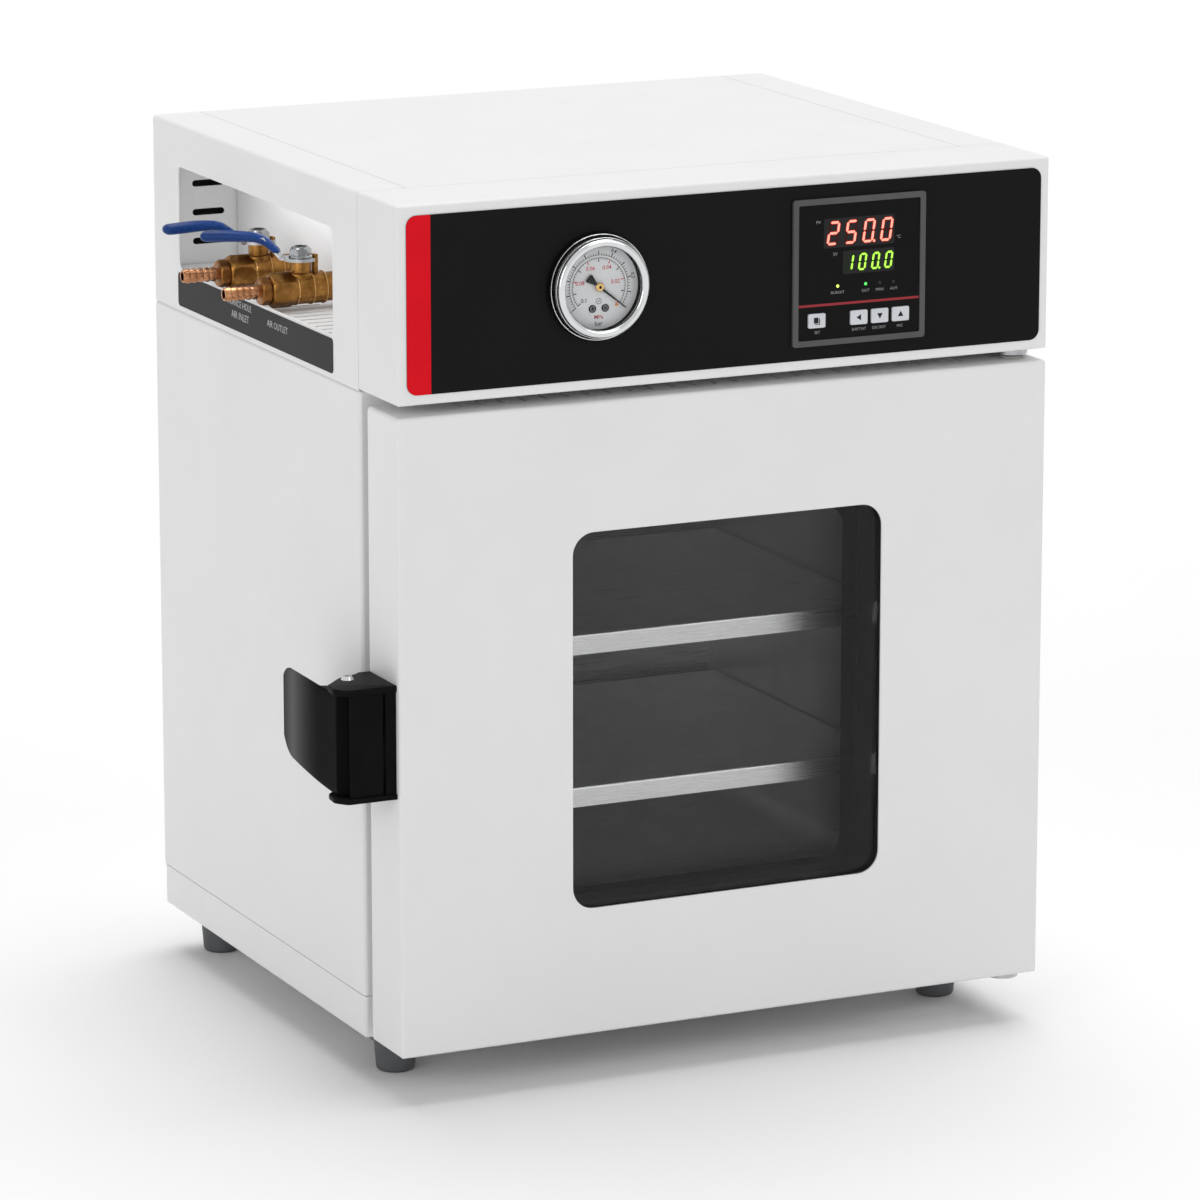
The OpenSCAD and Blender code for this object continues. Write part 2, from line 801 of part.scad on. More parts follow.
module hexagon_x(x0, x1, flats) {
    translate([x0, 0, 0]) rotate([30, 0, 0]) rotate([0, 90, 0])
        cylinder(x1 - x0, r = flats / 2 / cos(30), $fn = 6);
}

// A rib round the body at one station.
module rib(x) {
    turned_x() translate([body_r - 0.4, x]) circle(0.9);
}

module flow_bore() {
    translate([-far / 2, 0, 0]) rotate([0, 90, 0]) cylinder(far, r = flow_d / 2);
}

// A ball valve: the body with its stem boss and stop lug, and the hexagon end screwed in.
module ball_valve() {
    spigot = 3;
    cavity_r = ball_r + run;
    // body
    difference() {
        union() {
            turned_x() polygon([[0, hex_x1], [body_r, hex_x1], [body_r, body_x1 - 2],
                [body_r - 1, body_x1], [0, body_x1]]);
            for (x = [hex_x1 + 0.9, 6, body_x1 - 2]) rib(x);
            cylinder(boss_top, r = boss_r);
            translate([lug_x, -lug_w / 2, 0]) cube([3, lug_w, boss_top + 3.5]);
        }
        sphere(cavity_r);
        flow_bore();
        translate([0, 0, 3]) cylinder(boss_top, r = stem_r + run);
        translate([hex_x1 - 1, 0, 0]) rotate([0, 90, 0])
            cylinder(spigot + 1, r = body_r - 1.6 + run);
        translate([body_x1 - pipe_socket, 0, 0]) rotate([0, 90, 0]) cylinder(far, r = pipe_r + run);
    }
    // hexagon end
    difference() {
        union() {
            intersection() {
                hexagon_x(hex_x0, hex_x1, valve_af);
                turned_x() polygon([[0, hex_x0], [valve_af / 2 - 0.3, hex_x0],
                    [valve_af / 2 + 1.4, hex_x0 + 2], [valve_af / 2 + 1.4, hex_x1], [0, hex_x1]]);
            }
            translate([hex_x1 - 1, 0, 0]) rotate([0, 90, 0])
                cylinder(spigot + 1 - run, r = body_r - 1.6);
        }
        sphere(cavity_r);
        flow_bore();
    }
}

module valve_bodies() placed() color(brass)
    for (i = [0, 1]) at_valve(i) ball_valve();

// A hexagon with a ridged tube that a hose is pushed onto.
module hose_barb() {
    root = hex_x0 - barb_hex_l;
    ridges = 5;
    step = (barb_l - 3) / ridges;
    r1 = barb_d / 2;
    r0 = r1 - 0.9;
    teeth = [for (i = [0:ridges - 1]) each [
        [r1, root - 3 - i * step], [r0, root - 3 - (i + 1) * step]]];
    difference() {
        union() {
            hexagon_x(root, hex_x0, barb_af);
            turned_x() polygon(concat([[0, root + 1], [r0, root + 1], [r0, root - 3]], teeth,
                [[0, root - barb_l]]));
        }
        flow_bore();
    }
}

module hose_barbs() placed() color(copper)
    for (i = [0, 1]) at_valve(i) hose_barb();

// A pipe from a valve through the recess's wall, bent down to the chamber's port.
module valve_pipe(r) {
    start = stem_x + body_x1 - pipe_socket;
    port_z = chamber_z1 + chamber_wall + port_l;
    translate([start, 0, valve_axis_z]) rotate([0, 90, 0])
        cylinder(pipe_x - bend_r - start, r = r);
    translate([pipe_x - bend_r, 0, valve_axis_z - bend_r]) rotate([90, 0, 0])
        rotate_extrude(angle = 90) translate([bend_r, 0]) circle(r);
    translate([pipe_x, 0, port_z]) cylinder(valve_axis_z - bend_r - port_z, r = r);
}

module valve_pipes() placed() color(copper)
    for (y = valve_ys) translate([0, y, 0]) difference() {
        valve_pipe(pipe_r);
        valve_pipe(flow_d / 2);
        translate([stem_x, 0, valve_axis_z]) flow_bore_to(pipe_x - bend_r - stem_x);
        translate([pipe_x, 0, chamber_z1]) cylinder(30, r = flow_d / 2);
    }

// A flow bore that starts at the stem and ends at a station.
module flow_bore_to(x) {
    rotate([0, 90, 0]) cylinder(x, r = flow_d / 2);
}

// A capillary from the gauge's socket back and down to the chamber's third port.
module gauge_line() placed() color(copper) {
    y0 = gauge_l + 13;
    bend = 10;
    port_z = chamber_z1 + chamber_wall + port_l;
    rod_y(gauge_x, gauge_axis_z, y0, gauge_port_y - bend, line_r);
    translate([gauge_x, gauge_port_y - bend, gauge_axis_z - bend]) rotate([90, 0, 90])
        rotate_extrude(angle = 90) translate([bend, 0]) circle(line_r);
    translate([gauge_x, gauge_port_y, port_z])
        cylinder(gauge_axis_z - bend - port_z, r = line_r);
}

// Turns a piece drawn with its lever towards -X to where the lever rests.
module lever_turn(i) {
    rotate(-lever_rest[i]) children();
}

// Stem and slotted ball of one valve.
module stem_and_ball(i) placed() color(steel) at_valve(i) lever_turn(i) {
    tang_w = 2;
    difference() {
        sphere(ball_r);
        flow_bore();
        translate([-far / 2, -tang_w / 2 - run, ball_r - 2]) cube([far, tang_w + 2 * run, far]);
    }
    translate([0, 0, ball_r - 0.1]) cylinder(boss_top + lever_t + nut_h - 1.5 - ball_r, r = stem_r);
    intersection() {
        translate([-far / 2, -tang_w / 2, ball_r - 1.9]) cube([far, tang_w, 3]);
        cylinder(far, r = stem_r);
    }
}

// Underside of a lever at stations along it, as [distance from the stem, height].
function lever_path() = [[0, 0], [13, 0], [13 + lever_rise * 0.9, lever_rise],
    [lever_reach - 4, lever_rise]];

// The steel strip of a lever in X and Z, thickened by an even amount.
module lever_strip(t) {
    path = lever_path();
    low = [for (p = path) [-p[0], p[1] - t]];
    high = [for (i = [len(path) - 1:-1:0]) [-path[i][0], path[i][1] + lever_t + t]];
    polygon(concat(low, high));
}

module lever_arm(w, t) {
    translate([0, 0, boss_top]) along_y(-w / 2, w / 2) lever_strip(t);
}

// Steel lever plate, notched round the body's stop lug.
module lever_plate(i) placed() color(steel) at_valve(i) lever_turn(i) difference() {
    lug_angle = atan((lug_w / 2 + fit) / lug_x);
    union() {
        lever_arm(lever_w, 0);
        translate([0, 0, boss_top]) cylinder(lever_t, r = lever_hub_r);
        translate([0, 0, boss_top]) rotate(90 + lug_angle) rotate_extrude(angle = 270 - 2 * lug_angle)
            translate([lever_hub_r - 1, 0]) square([stop_r - lever_hub_r + 1, lever_t]);
    }
    translate([0, 0, boss_top - 1]) cylinder(lever_t + 2, r = stem_r + run);
}

// Dipped vinyl grip over the outer part of a lever.
module lever_grip(i) placed() color(blue) at_valve(i) lever_turn(i) difference() {
    mid = boss_top + lever_t / 2;
    stations = [[17, lever_rise * 0.33, 0.9], [13 + lever_rise * 0.9, lever_rise, 1],
        [lever_reach * 0.6, lever_rise + 0.6, 1], [lever_reach - 4.4, lever_rise, 0.8]];
    for (s = [0:len(stations) - 2]) hull() for (p = [stations[s], stations[s + 1]])
        translate([-p[0], 0, mid + p[1]])
            scale([0.8 * p[2], p[2] * grip_w / 11, p[2] * grip_t / 11]) sphere(5.5, $fn = 32);
    lever_arm(lever_w + 0.2, bite);
}

// Flange nut with a nylon ring on top of a lever.
module lever_nut(i) placed() color(steel) at_valve(i) lever_turn(i)
    translate([0, 0, boss_top + lever_t]) difference() {
        union() {
            cylinder(1.5, r1 = 7.8, r2 = 7.2);
            cylinder(nut_h - 1.2, r = 6.5 / cos(30), $fn = 6);
            cylinder(nut_h, r = 5.6);
        }
        translate([0, 0, -1]) cylinder(nut_h + 2, r = stem_r + run);
        translate([0, 0, nut_h - 1]) cylinder(2, r = 4.4);
    }

module inlet_stem() stem_and_ball(0);
module inlet_lever() lever_plate(0);
module inlet_grip() lever_grip(0);
module inlet_nut() lever_nut(0);
module vacuum_stem() stem_and_ball(1);
module vacuum_lever() lever_plate(1);
module vacuum_grip() lever_grip(1);
module vacuum_nut() lever_nut(1);

// ---- Gauge ----

module gauge_case() placed() color(steel) turned_and_stud();

module turned_and_stud() {
    rim_y = -gauge_proud + 4.8;
    difference() {
        union() {
            turned_y(gauge_x, gauge_axis_z) {
                polygon([[0, rim_y], [can_r, rim_y], [can_r, gauge_l - 2], [can_r - 2, gauge_l],
                    [0, gauge_l]]);
                translate([0, -3]) square([gauge_d / 2 + 0.6, 3 - fascia_t]);
            }
            rod_y(gauge_x, gauge_axis_z, gauge_l - 1, gauge_l + 13, 6);
            translate([gauge_x, gauge_l, gauge_axis_z]) rotate([-90, 0, 0])
                cylinder(5, r = 8, $fn = 6);
        }
        rod_y(gauge_x, gauge_axis_z, rim_y - 1, -2, dial_r + fit);
    }
    rod_y(gauge_x, gauge_axis_z, dial_y() - 2.6, 0, needle_pin_r);
}

// Front face of the dial.
function dial_y() = -2.8;

module gauge_bezel() placed() color([0.85, 0.86, 0.88]) turned_y(gauge_x, gauge_axis_z) {
    ro = gauge_d / 2;
    nose = 2.4;
    front = -gauge_proud;
    seat = front + 2.8;
    difference() {
        union() {
            translate([can_r - 1.5, front + nose]) square([ro - can_r + 1.5, gauge_proud - nose - 3]);
            translate([ro - nose, front + nose]) circle(nose);
            translate([can_r - 1.5, front + 1]) square([ro - can_r + 1.5 - nose, nose]);
        }
        // seat of the glass and of the case's rim
        translate([0, seat]) square([can_r + bite, far]);
    }
}

module gauge_dial() placed() color([0.87, 0.87, 0.88]) difference() {
    union() {
        rod_y(gauge_x, gauge_axis_z, dial_y(), -2, dial_r);
        for (side = [-1, 1]) rod_y(gauge_x + side * 4.2, gauge_axis_z - 13, dial_y() - 0.5,
            dial_y() + 0.1, 1.6);
    }
    rod_y(gauge_x, gauge_axis_z, -5, 0, needle_pin_r + fit);
}

module gauge_glass() placed() color([0.8, 0.9, 0.95, 0.3])
    rod_y(gauge_x, gauge_axis_z, -gauge_proud + 2.8, -gauge_proud + 4.8, can_r);

// Needle with a wide tail and a round hub; it points to the right and 38 degrees down.
module gauge_needle() placed() color(black)
    translate([gauge_x, dial_y(), gauge_axis_z]) rotate([90, 0, 0]) rotate(-38) difference() {
        tip = dial_r - 5;
        tail = 9;
        union() {
            cylinder(2.2, r = 2.6);
            translate([0, 0, 1.2]) linear_extrude(0.5)
                polygon([[tip, 0.25], [tip, -0.25], [0, -0.9], [-tail, -2.4], [-tail - 1.5, 0],
                    [-tail, 2.4], [0, 0.9]]);
        }
        translate([0, 0, -1]) cylinder(4, r = needle_pin_r + run);
    }

// ---- Controller ----

module controller_case() placed() color([0.37, 0.37, 0.38]) {
    s = controller_size;
    difference() {
        union() {
            along_y(-controller_proud, -fascia_t) rr_mid(controller_x, controller_z, s, s, 2);
            along_y(-controller_proud, controller_l)
                rr_mid(controller_x, controller_z, controller_body, controller_body, 2);
        }
        along_y(-far, face_y + face_t)
            rr_mid(controller_x, controller_z, face_size + 0.4, face_size + 0.4, 1);
        // room for the buttons to travel
        along_y(-far, face_y + face_t + button_flange + button_travel + 0.6)
            rr_mid(controller_x, button_z, face_size - 6, button_h + 6, 1);
    }
}

module controller_face() placed() color(black)
    along_y(face_y, face_y + face_t) difference() {
        rr_mid(controller_x, controller_z, face_size, face_size, 1);
        for (i = [0:3]) rr_mid(button_x(i), button_z, button_w + 0.4, button_h + 0.4, 1);
    }

function button_x(i) = controller_x - controller_size / 2 + button_xs[i];

// A button cap with the flange that keeps it behind the face.
module button(i) placed() color([0.75, 0.75, 0.76]) {
    back = face_y + face_t + 0.1;
    along_y(-controller_proud - 0.3, back + button_flange)
        rr_mid(button_x(i), button_z, button_w, button_h, 1);
    along_y(back, back + button_flange)
        rr_mid(button_x(i), button_z, button_w + 2, button_h + 2, 1);
}

module button_set() button(0);
module button_left() button(1);
module button_down() button(2);
module button_up() button(3);

// ---- Power ----

// The appliance inlet with its pins, and the housing of the rocker above it.
module power_entry() placed() color(black) {
    inlet_z = entry_z - inlet_drop;
    depth = 17;
    difference() {
        union() {
            along_y(cabinet_d, cabinet_d + entry_t) rr_mid(entry_x, entry_z, entry_w, entry_h, 3);
            along_y(cabinet_d - entry_body_d, cabinet_d + bite)
                rr_mid(entry_x, entry_z, entry_w - 4.6, entry_h - 6.6, 1);
        }
        along_y(cabinet_d + entry_t - depth, far) polygon([
            for (p = [[-12, -8.2], [12, -8.2], [12, 3], [7, 8.2], [-7, 8.2], [-12, 3]])
                [entry_x + p[0], inlet_z + p[1]]]);
        along_y(rocker_y - rocker_r - 1, far)
            rr_mid(entry_x, rocker_z, rocker_w + 0.6, 2 * rocker_r + 0.6, 0.5);
    }
    for (p = [[-7, 1], [7, 1], [0, 4.5]])
        translate([entry_x + p[0] - 1, cabinet_d + entry_t - depth - 1, inlet_z + p[1] - 2])
            cube([2, 14, 4]);
    // journals that the rocker turns on
    for (side = [-1, 1]) translate([entry_x + side * (rocker_w / 2 - 0.7), rocker_y, rocker_z])
        rotate([0, 90, 0]) cylinder(2.2, r = 1.2, center = true);
}

module power_rocker() placed() color([0.15, 0.15, 0.15])
    translate([entry_x, rocker_y, rocker_z]) rotate([rocker_tilt, 0, 0]) difference() {
        slope = rocker_r * tan(rocker_tilt);
        along_x(-rocker_w / 2, rocker_w / 2) intersection() {
            circle(rocker_r);
            polygon([[-4, -rocker_r], [rocker_flat + slope, -rocker_r], [rocker_flat, 0],
                [rocker_flat + slope, rocker_r], [-4, rocker_r]]);
        }
        for (side = [-1, 1]) translate([side * rocker_w / 2, 0, 0]) rotate([0, 90, 0])
            cylinder(4, r = 1.2 + run, center = true);
    }

// Solid-state relay on its finned heat sink, on the deck behind the controller.
module relay() placed() color([0.2, 0.2, 0.2]) {
    fin_pitch = (relay_w - fin_t) / (fin_count - 1);
    fin_z = deck_z + sink_t;
    plate_z = fin_z + fin_h;
    relay_z = plate_z + sink_t;
    translate([relay_x, relay_y, 0]) {
        box([0, 0, deck_z], [relay_w, relay_l, fin_z]);
        for (i = [0:fin_count - 1]) box([i * fin_pitch, 0, fin_z - bite],
            [i * fin_pitch + fin_t, relay_l, plate_z + bite]);
        box([0, 0, plate_z], [relay_w, relay_l, relay_z]);
        box([relay_margin, relay_margin, relay_z - bite],
            [relay_w - relay_margin, relay_l - relay_margin, relay_z + relay_h]);
    }
}

// ---- Hinge ----

// A bracket's plate in plan, from the body's front to a round end about the pin.
module bracket_plan() {
    translate([hinge_x, hinge_y]) circle(bracket_r);
    translate([hinge_x - bracket_r, hinge_y]) square([2 * bracket_r, body_y - hinge_y]);
}

// An angle bracket with its pin, standing up from the level z.
module hinge_bracket() {
    along_z(-bracket_t, 0) bracket_plan();
    box([hinge_x - bracket_r, body_y - bracket_t, -bracket_t],
        [hinge_x + bracket_r, body_y, bracket_leg - bracket_t]);
}

module hinge_brackets() placed() color(steel) {
    // lower bracket under the door, its pin upwards
    translate([0, 0, foot_h]) hinge_bracket();
    translate([hinge_x, hinge_y, foot_h - bite])
        cylinder(door_foot_gap + pin_l + bite, r = pin_d / 2);
    // upper bracket over the door, its pin downwards
    translate([0, 0, door_z1 + pin_gap]) mirror([0, 0, 1]) hinge_bracket();
    translate([hinge_x, hinge_y, door_z1 - pin_l])
        cylinder(pin_l + pin_gap + bite, r = pin_d / 2);
}

// Flanged bushes in the door's two hinge blocks.
module hinge_bushes() placed() color([0.85, 0.84, 0.8]) {
    bush_at(door_z0) bush();
    bush_at(door_z1) mirror([0, 0, 1]) bush();
}

module bush_at(z) {
    translate([hinge_x, hinge_y, z]) children();
}

// A bush that stands up from the door's lower face, its flange below.
module bush() {
    difference() {
        union() {
            cylinder(bush_l, r = bush_d / 2);
            translate([0, 0, -1]) cylinder(1, r = bush_d / 2 + 2);
        }
        translate([0, 0, -2]) cylinder(bush_l + 4, r = pin_d / 2 + run);
    }
}

// ---- Door ----

module door_shell() placed() color(paint) {
    deep = 20;
    first = mid_x - (slot_count - 1) * slot_pitch / 2;
    difference() {
        union() {
            difference() {
                folded_box([0, 0, door_z0], [cabinet_w, door_t + deep, door_z1]);
                box([-1, door_t, 0], [cabinet_w + 1, far, far]);
                along_y(-1, 10) window_outline(0);
                for (i = [0:slot_count - 1]) along_z(door_z1 - 10, door_z1 + 10)
                    rr_mid(first + i * slot_pitch, slot_y + slot_l / 2, slot_w, slot_l,
                        slot_w / 2 - 0.05);
            }
            // hinge blocks
            for (z = [door_z0 + sheet - bite, door_z1 - sheet - bush_l + bite])
                box([cabinet_w - sheet - block_w + bite, sheet - bite, z],
                    [cabinet_w - sheet + bite, door_t - 6, z + bush_l]);
        }
        bush_at(door_z0 - 1) cylinder(bush_l + 6, r = bush_d / 2 + run);
        bush_at(door_z1 - bush_l - 5) cylinder(bush_l + 6, r = bush_d / 2 + run);
    }
}

// Plate that closes the door's back round the inner pane.
module door_liner() placed() color(paint) {
    edge = sheet + fit;
    along_y(liner_y, door_t) difference() {
        rr(edge, door_z0 + edge, cabinet_w - edge, door_z1 - edge, 2);
        chamber_outline(seal_out + 1);
    }
}

module outer_glass() placed() color([0.15, 0.15, 0.16, 0.6])
    along_y(sheet, sheet + outer_glass_t) window_outline(glass_lap);

// Duct between the two panes, with a flange at each end.
module window_tunnel() placed() color([0.3, 0.3, 0.3]) {
    y0 = sheet + outer_glass_t;
    y1 = inner_glass_y;
    difference() {
        union() {
            along_y(y0, y1) window_outline(tunnel_t);
            for (y = [y0, y1 - tunnel_t]) along_y(y, y + tunnel_t) window_outline(tunnel_flange);
        }
        along_y(y0 - 1, y1 + 1) window_outline(0);
    }
}

module inner_glass() placed() color([0.8, 0.88, 0.9, 0.35])
    along_y(inner_glass_y, liner_y) chamber_outline(glass_out);

// Frame round the inner pane's edge, with a lip in front of it.
module glass_frame() placed() color([0.45, 0.46, 0.48]) {
    along_y(inner_glass_y - frame_lip_t, liner_y) difference() {
        chamber_outline(glass_out + fit + 8);
        chamber_outline(glass_out + fit);
    }
    along_y(inner_glass_y - frame_lip_t, inner_glass_y) difference() {
        chamber_outline(glass_out + fit + 1);
        chamber_outline(seal_in);
    }
}

// ---- Latch ----

// The D shape of the latch's upper and lower plates in plan.
module latch_plan() {
    nose_r = 12;
    nose_x = -latch_reach + 7 + nose_r;
    translate([nose_x, latch_y0 + nose_r]) circle(nose_r);
    polygon([[0, latch_y0], [nose_x, latch_y0], [nose_x - nose_r, latch_y0 + nose_r],
        [nose_x - nose_r, latch_y0 + nose_r + 8], [-18, latch_y1], [0, latch_y1]]);
}

module latch_base() placed() color(black) difference() {
    union() {
        along_z(latch_z0, latch_z1) rr(-latch_base_t, latch_y0, 0, latch_y1, 1);
        for (z = [latch_z0, latch_z1 - latch_plate_t]) along_z(z, z + latch_plate_t) latch_plan();
        along_z(latch_z0, latch_z1)
            rr(-latch_reach + 11, latch_y0, -latch_base_t + 1, latch_y0 + 2.5, 0.6);
    }
    translate([pivot[0], pivot[1], latch_z0 - 1]) cylinder(latch_h + 2, r = pivot_r + run);
}

// Pivot screw through the latch, its head on the upper plate.
module latch_screw() placed() color(steel)
    translate([pivot[0], pivot[1], latch_z1]) mirror([0, 0, 1])
        pan_screw(latch_h, pivot_head_r, pivot_r, pivot_head_h);

// The paddle's curved skin in plan, grown inwards by its thickness.
module paddle_plan() {
    end_sag = paddle_curve - sqrt(paddle_curve^2 - (paddle_end_y - paddle_tangent_y)^2);
    face_x = -latch_reach + end_sag;
    centre = [face_x - paddle_curve, paddle_tangent_y];
    intersection() {
        difference() {
            translate(centre) circle(paddle_curve + paddle_t, $fn = 360);
            translate(centre) circle(paddle_curve, $fn = 360);
        }
        translate([-latch_reach - 5, paddle_y0])
            square([latch_reach, paddle_end_y + 5 - paddle_y0]);
    }
}

module latch_lever() placed() color(black) {
    z0 = latch_z0 + latch_plate_t + fit;
    z1 = latch_z1 - latch_plate_t - fit;
    web_x = -latch_reach + 12;      // inside the skin
    difference() {
        union() {
            intersection() {
                along_z(z0, z1) paddle_plan();
                along_x(-2 * latch_reach, 0) paddle_side(z0, z1);
            }
            // hub and its web
            along_z(z0, z1) {
                translate(pivot) circle(7.5);
                polygon([pivot + [0, -6], pivot + [0, 6], [web_x, pivot[1] + 13],
                    [web_x, pivot[1] - 12]]);
            }
            // cam that bears on the keeper
            along_z(mid_z - 8, mid_z + 8) polygon([[web_x, keeper_y - 8],
                [keeper_x - fit, keeper_y + 3], [keeper_x - fit, keeper_y + 13],
                [web_x - 3, keeper_y + 20]]);
        }
        translate([pivot[0], pivot[1], z0 - 1]) cylinder(latch_h, r = pivot_r + run);
    }
}

// The paddle's side view in Y and Z, with a small round above and a large one below.
module paddle_side(z0, z1) {
    high_r = 8;
    low_r = 22;
    y0 = paddle_y0 - 1;
    y1 = paddle_end_y;
    translate([y0, z0]) square([y1 - low_r - y0, z1 - z0]);
    translate([y0, z0 + low_r]) square([y1 - high_r - y0, z1 - z0 - low_r]);
    translate([y0, z0 + low_r]) square([y1 - y0, z1 - z0 - low_r - high_r]);
    translate([y1 - high_r, z1 - high_r]) circle(high_r);
    translate([y1 - low_r, z0 + low_r]) circle(low_r);
}

// Striker on the case's side, behind the paddle.
module latch_keeper() placed() color(steel) {
    along_x(-keeper_t, 0)
        rr(keeper_y, mid_z - keeper_h / 2, keeper_y + keeper_d, mid_z + keeper_h / 2, 3);
    along_z(mid_z - 10, mid_z + 10)
        rr(keeper_x, keeper_y + 2, -keeper_t / 2, keeper_y + 2 + keeper_nose_d, 2.5);
}

outer_case();
base_pan();
front_panel();
rear_panel();
hood_front();
hood_left_panel();
hood_right_panel();
hood_top();
valve_tray();
side_label();
fascia();
chamber();
door_seal();
shelf_rails();
shelf_upper();
shelf_lower();
heater_pads();
insulation();
temperature_probe();
valve_bodies();
hose_barbs();
valve_pipes();
gauge_line();
controller_case();
controller_face();
gauge_case();
gauge_bezel();
gauge_dial();
gauge_glass();
power_entry();
relay();
feet();
foot_screws();
panel_screws();
hinge_brackets();
latch_keeper();
door_shell();
door_liner();
outer_glass();
window_tunnel();
inner_glass();
glass_frame();
hinge_bushes();
latch_base();
latch_screw();
latch_lever();
inlet_stem();
inlet_lever();
inlet_grip();
inlet_nut();
vacuum_stem();
vacuum_lever();
vacuum_grip();
vacuum_nut();
button_set();
button_left();
button_down();
button_up();
gauge_needle();
power_rocker();
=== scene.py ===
"""The looks of a bench-top vacuum drying oven: paint, metals, glass, dial, display and lettering.

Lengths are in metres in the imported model's frame: X runs to the right of the door, Y to the back, Z up.
Small sizes are written in millimetres times MM. Places come from the boxes of the CAD nodes.
"""

import json
import math

import bmesh
import bpy
import numpy as np
from mathutils import Matrix, Vector


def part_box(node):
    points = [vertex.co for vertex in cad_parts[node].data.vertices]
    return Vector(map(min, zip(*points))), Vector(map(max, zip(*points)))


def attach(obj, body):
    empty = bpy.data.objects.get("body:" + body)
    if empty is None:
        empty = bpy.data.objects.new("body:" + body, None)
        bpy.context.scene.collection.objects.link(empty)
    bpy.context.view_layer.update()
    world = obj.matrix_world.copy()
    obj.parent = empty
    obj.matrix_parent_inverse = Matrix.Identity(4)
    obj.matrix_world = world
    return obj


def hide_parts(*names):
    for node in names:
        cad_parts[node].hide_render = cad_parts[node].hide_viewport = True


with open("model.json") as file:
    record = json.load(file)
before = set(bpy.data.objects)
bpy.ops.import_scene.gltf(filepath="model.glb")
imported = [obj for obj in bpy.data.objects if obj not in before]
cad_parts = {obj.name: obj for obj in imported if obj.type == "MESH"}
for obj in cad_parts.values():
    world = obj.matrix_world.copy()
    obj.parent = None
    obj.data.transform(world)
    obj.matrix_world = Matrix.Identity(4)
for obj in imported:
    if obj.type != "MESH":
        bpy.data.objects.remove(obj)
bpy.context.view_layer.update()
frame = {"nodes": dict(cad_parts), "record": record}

MM = 0.001
LIFT = 0.06 * MM  # how far a print stands proud of what carries it
MERGE = 0.004 * MM  # corners of loose triangles that lie nearer than this are one point


# ---------------------------------------------------------------- meshes

def piece(name, points, faces, material, body, slot, angle=None):
    """Makes one finished piece from points (n x 3) and faces, and lets it ride on a body."""
    mesh = bpy.data.meshes.new(name)
    mesh.from_pydata([tuple(p) for p in np.asarray(points, float)], [], [tuple(map(int, f)) for f in faces])
    mesh.validate()
    obj = bpy.data.objects.new(name, mesh)
    bpy.context.scene.collection.objects.link(obj)
    mesh.materials.append(material)
    if angle is not None:
        obj.modifiers.new("soft edges", "NODES").node_group = edge_softener(angle)
    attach(obj, body)
    return obj


def grid_faces(rows, columns):
    """Quads between neighbouring points of a rows x columns grid, whose last column meets its first."""
    i, j = np.meshgrid(np.arange(rows - 1), np.arange(columns), indexing="ij")
    k = (j + 1) % columns
    return np.stack([i * columns + j, i * columns + k, (i + 1) * columns + k, (i + 1) * columns + j], -1).reshape(-1, 4)


def welded(points, faces, radius=1e-6):
    """The same surface with its doubled points merged, so that seams and poles are closed, facing outwards."""
    mesh = bmesh.new()
    verts = [mesh.verts.new(p) for p in points]
    for f in faces:
        corners = list(dict.fromkeys(int(k) for k in f))
        if len(corners) > 2:
            mesh.faces.new([verts[k] for k in corners])
    bmesh.ops.remove_doubles(mesh, verts=mesh.verts, dist=radius)
    bmesh.ops.dissolve_degenerate(mesh, edges=mesh.edges, dist=radius / 2)
    bmesh.ops.recalc_face_normals(mesh, faces=mesh.faces)
    mesh.verts.index_update()
    out = np.array([v.co[:] for v in mesh.verts]), [[v.index for v in f.verts] for f in mesh.faces]
    mesh.free()
    return out


def turned(profile, centre, steps=96):
    """A closed profile of (radius, depth) pairs, turned about the line along Y through centre (x, y, z).

    A point at angle a lies at x + radius cos a, y + depth, z + radius sin a.
    """
    r, d = np.asarray(profile, float).T
    a = np.linspace(0, 2 * np.pi, steps, endpoint=False)
    x = centre[0] + np.outer(r, np.cos(a))
    y = centre[1] + np.outer(d, np.ones(steps))
    z = centre[2] + np.outer(r, np.sin(a))
    return welded(np.stack([x, y, z], -1).reshape(-1, 3), grid_faces(len(r), steps))


def plate(outline, y_front, thick=LIFT):
    """A thin plate facing -Y: an anticlockwise outline of (x, z) pairs, carried back by its thickness."""
    flat = np.asarray(outline, float)
    n = len(flat)
    front = np.column_stack([flat[:, 0], np.full(n, y_front), flat[:, 1]])
    back = front + [0, thick, 0]
    i = np.arange(n)
    j = (i + 1) % n
    return np.vstack([front, back]), [list(i), list(i[::-1] + n), *np.column_stack([i, i + n, j + n, j]).tolist()]


def joined(parts):
    """Several (points, faces) pairs as one."""
    points, faces, count = [], [], 0
    for p, f in parts:
        points.append(p)
        faces += [[k + count for k in face] for face in f]
        count += len(p)
    return np.vstack(points), faces


def rounded(x0, z0, x1, z1, r, steps=6):
    """An anticlockwise rectangle whose corners are quarter circles of radius r."""
    a = np.linspace(0, np.pi / 2, steps + 1)
    corners = [(x1 - r, z0 + r, -np.pi / 2), (x1 - r, z1 - r, 0), (x0 + r, z1 - r, np.pi / 2), (x0 + r, z0 + r, np.pi)]
    return np.vstack([np.column_stack([x + r * np.cos(a + s), z + r * np.sin(a + s)]) for x, z, s in corners])


def disc(x, z, r, steps=32):
    """An anticlockwise circle of radius r about a place."""
    a = np.linspace(0, 2 * np.pi, steps, endpoint=False)
    return np.column_stack([x + r * np.cos(a), z + r * np.sin(a)])


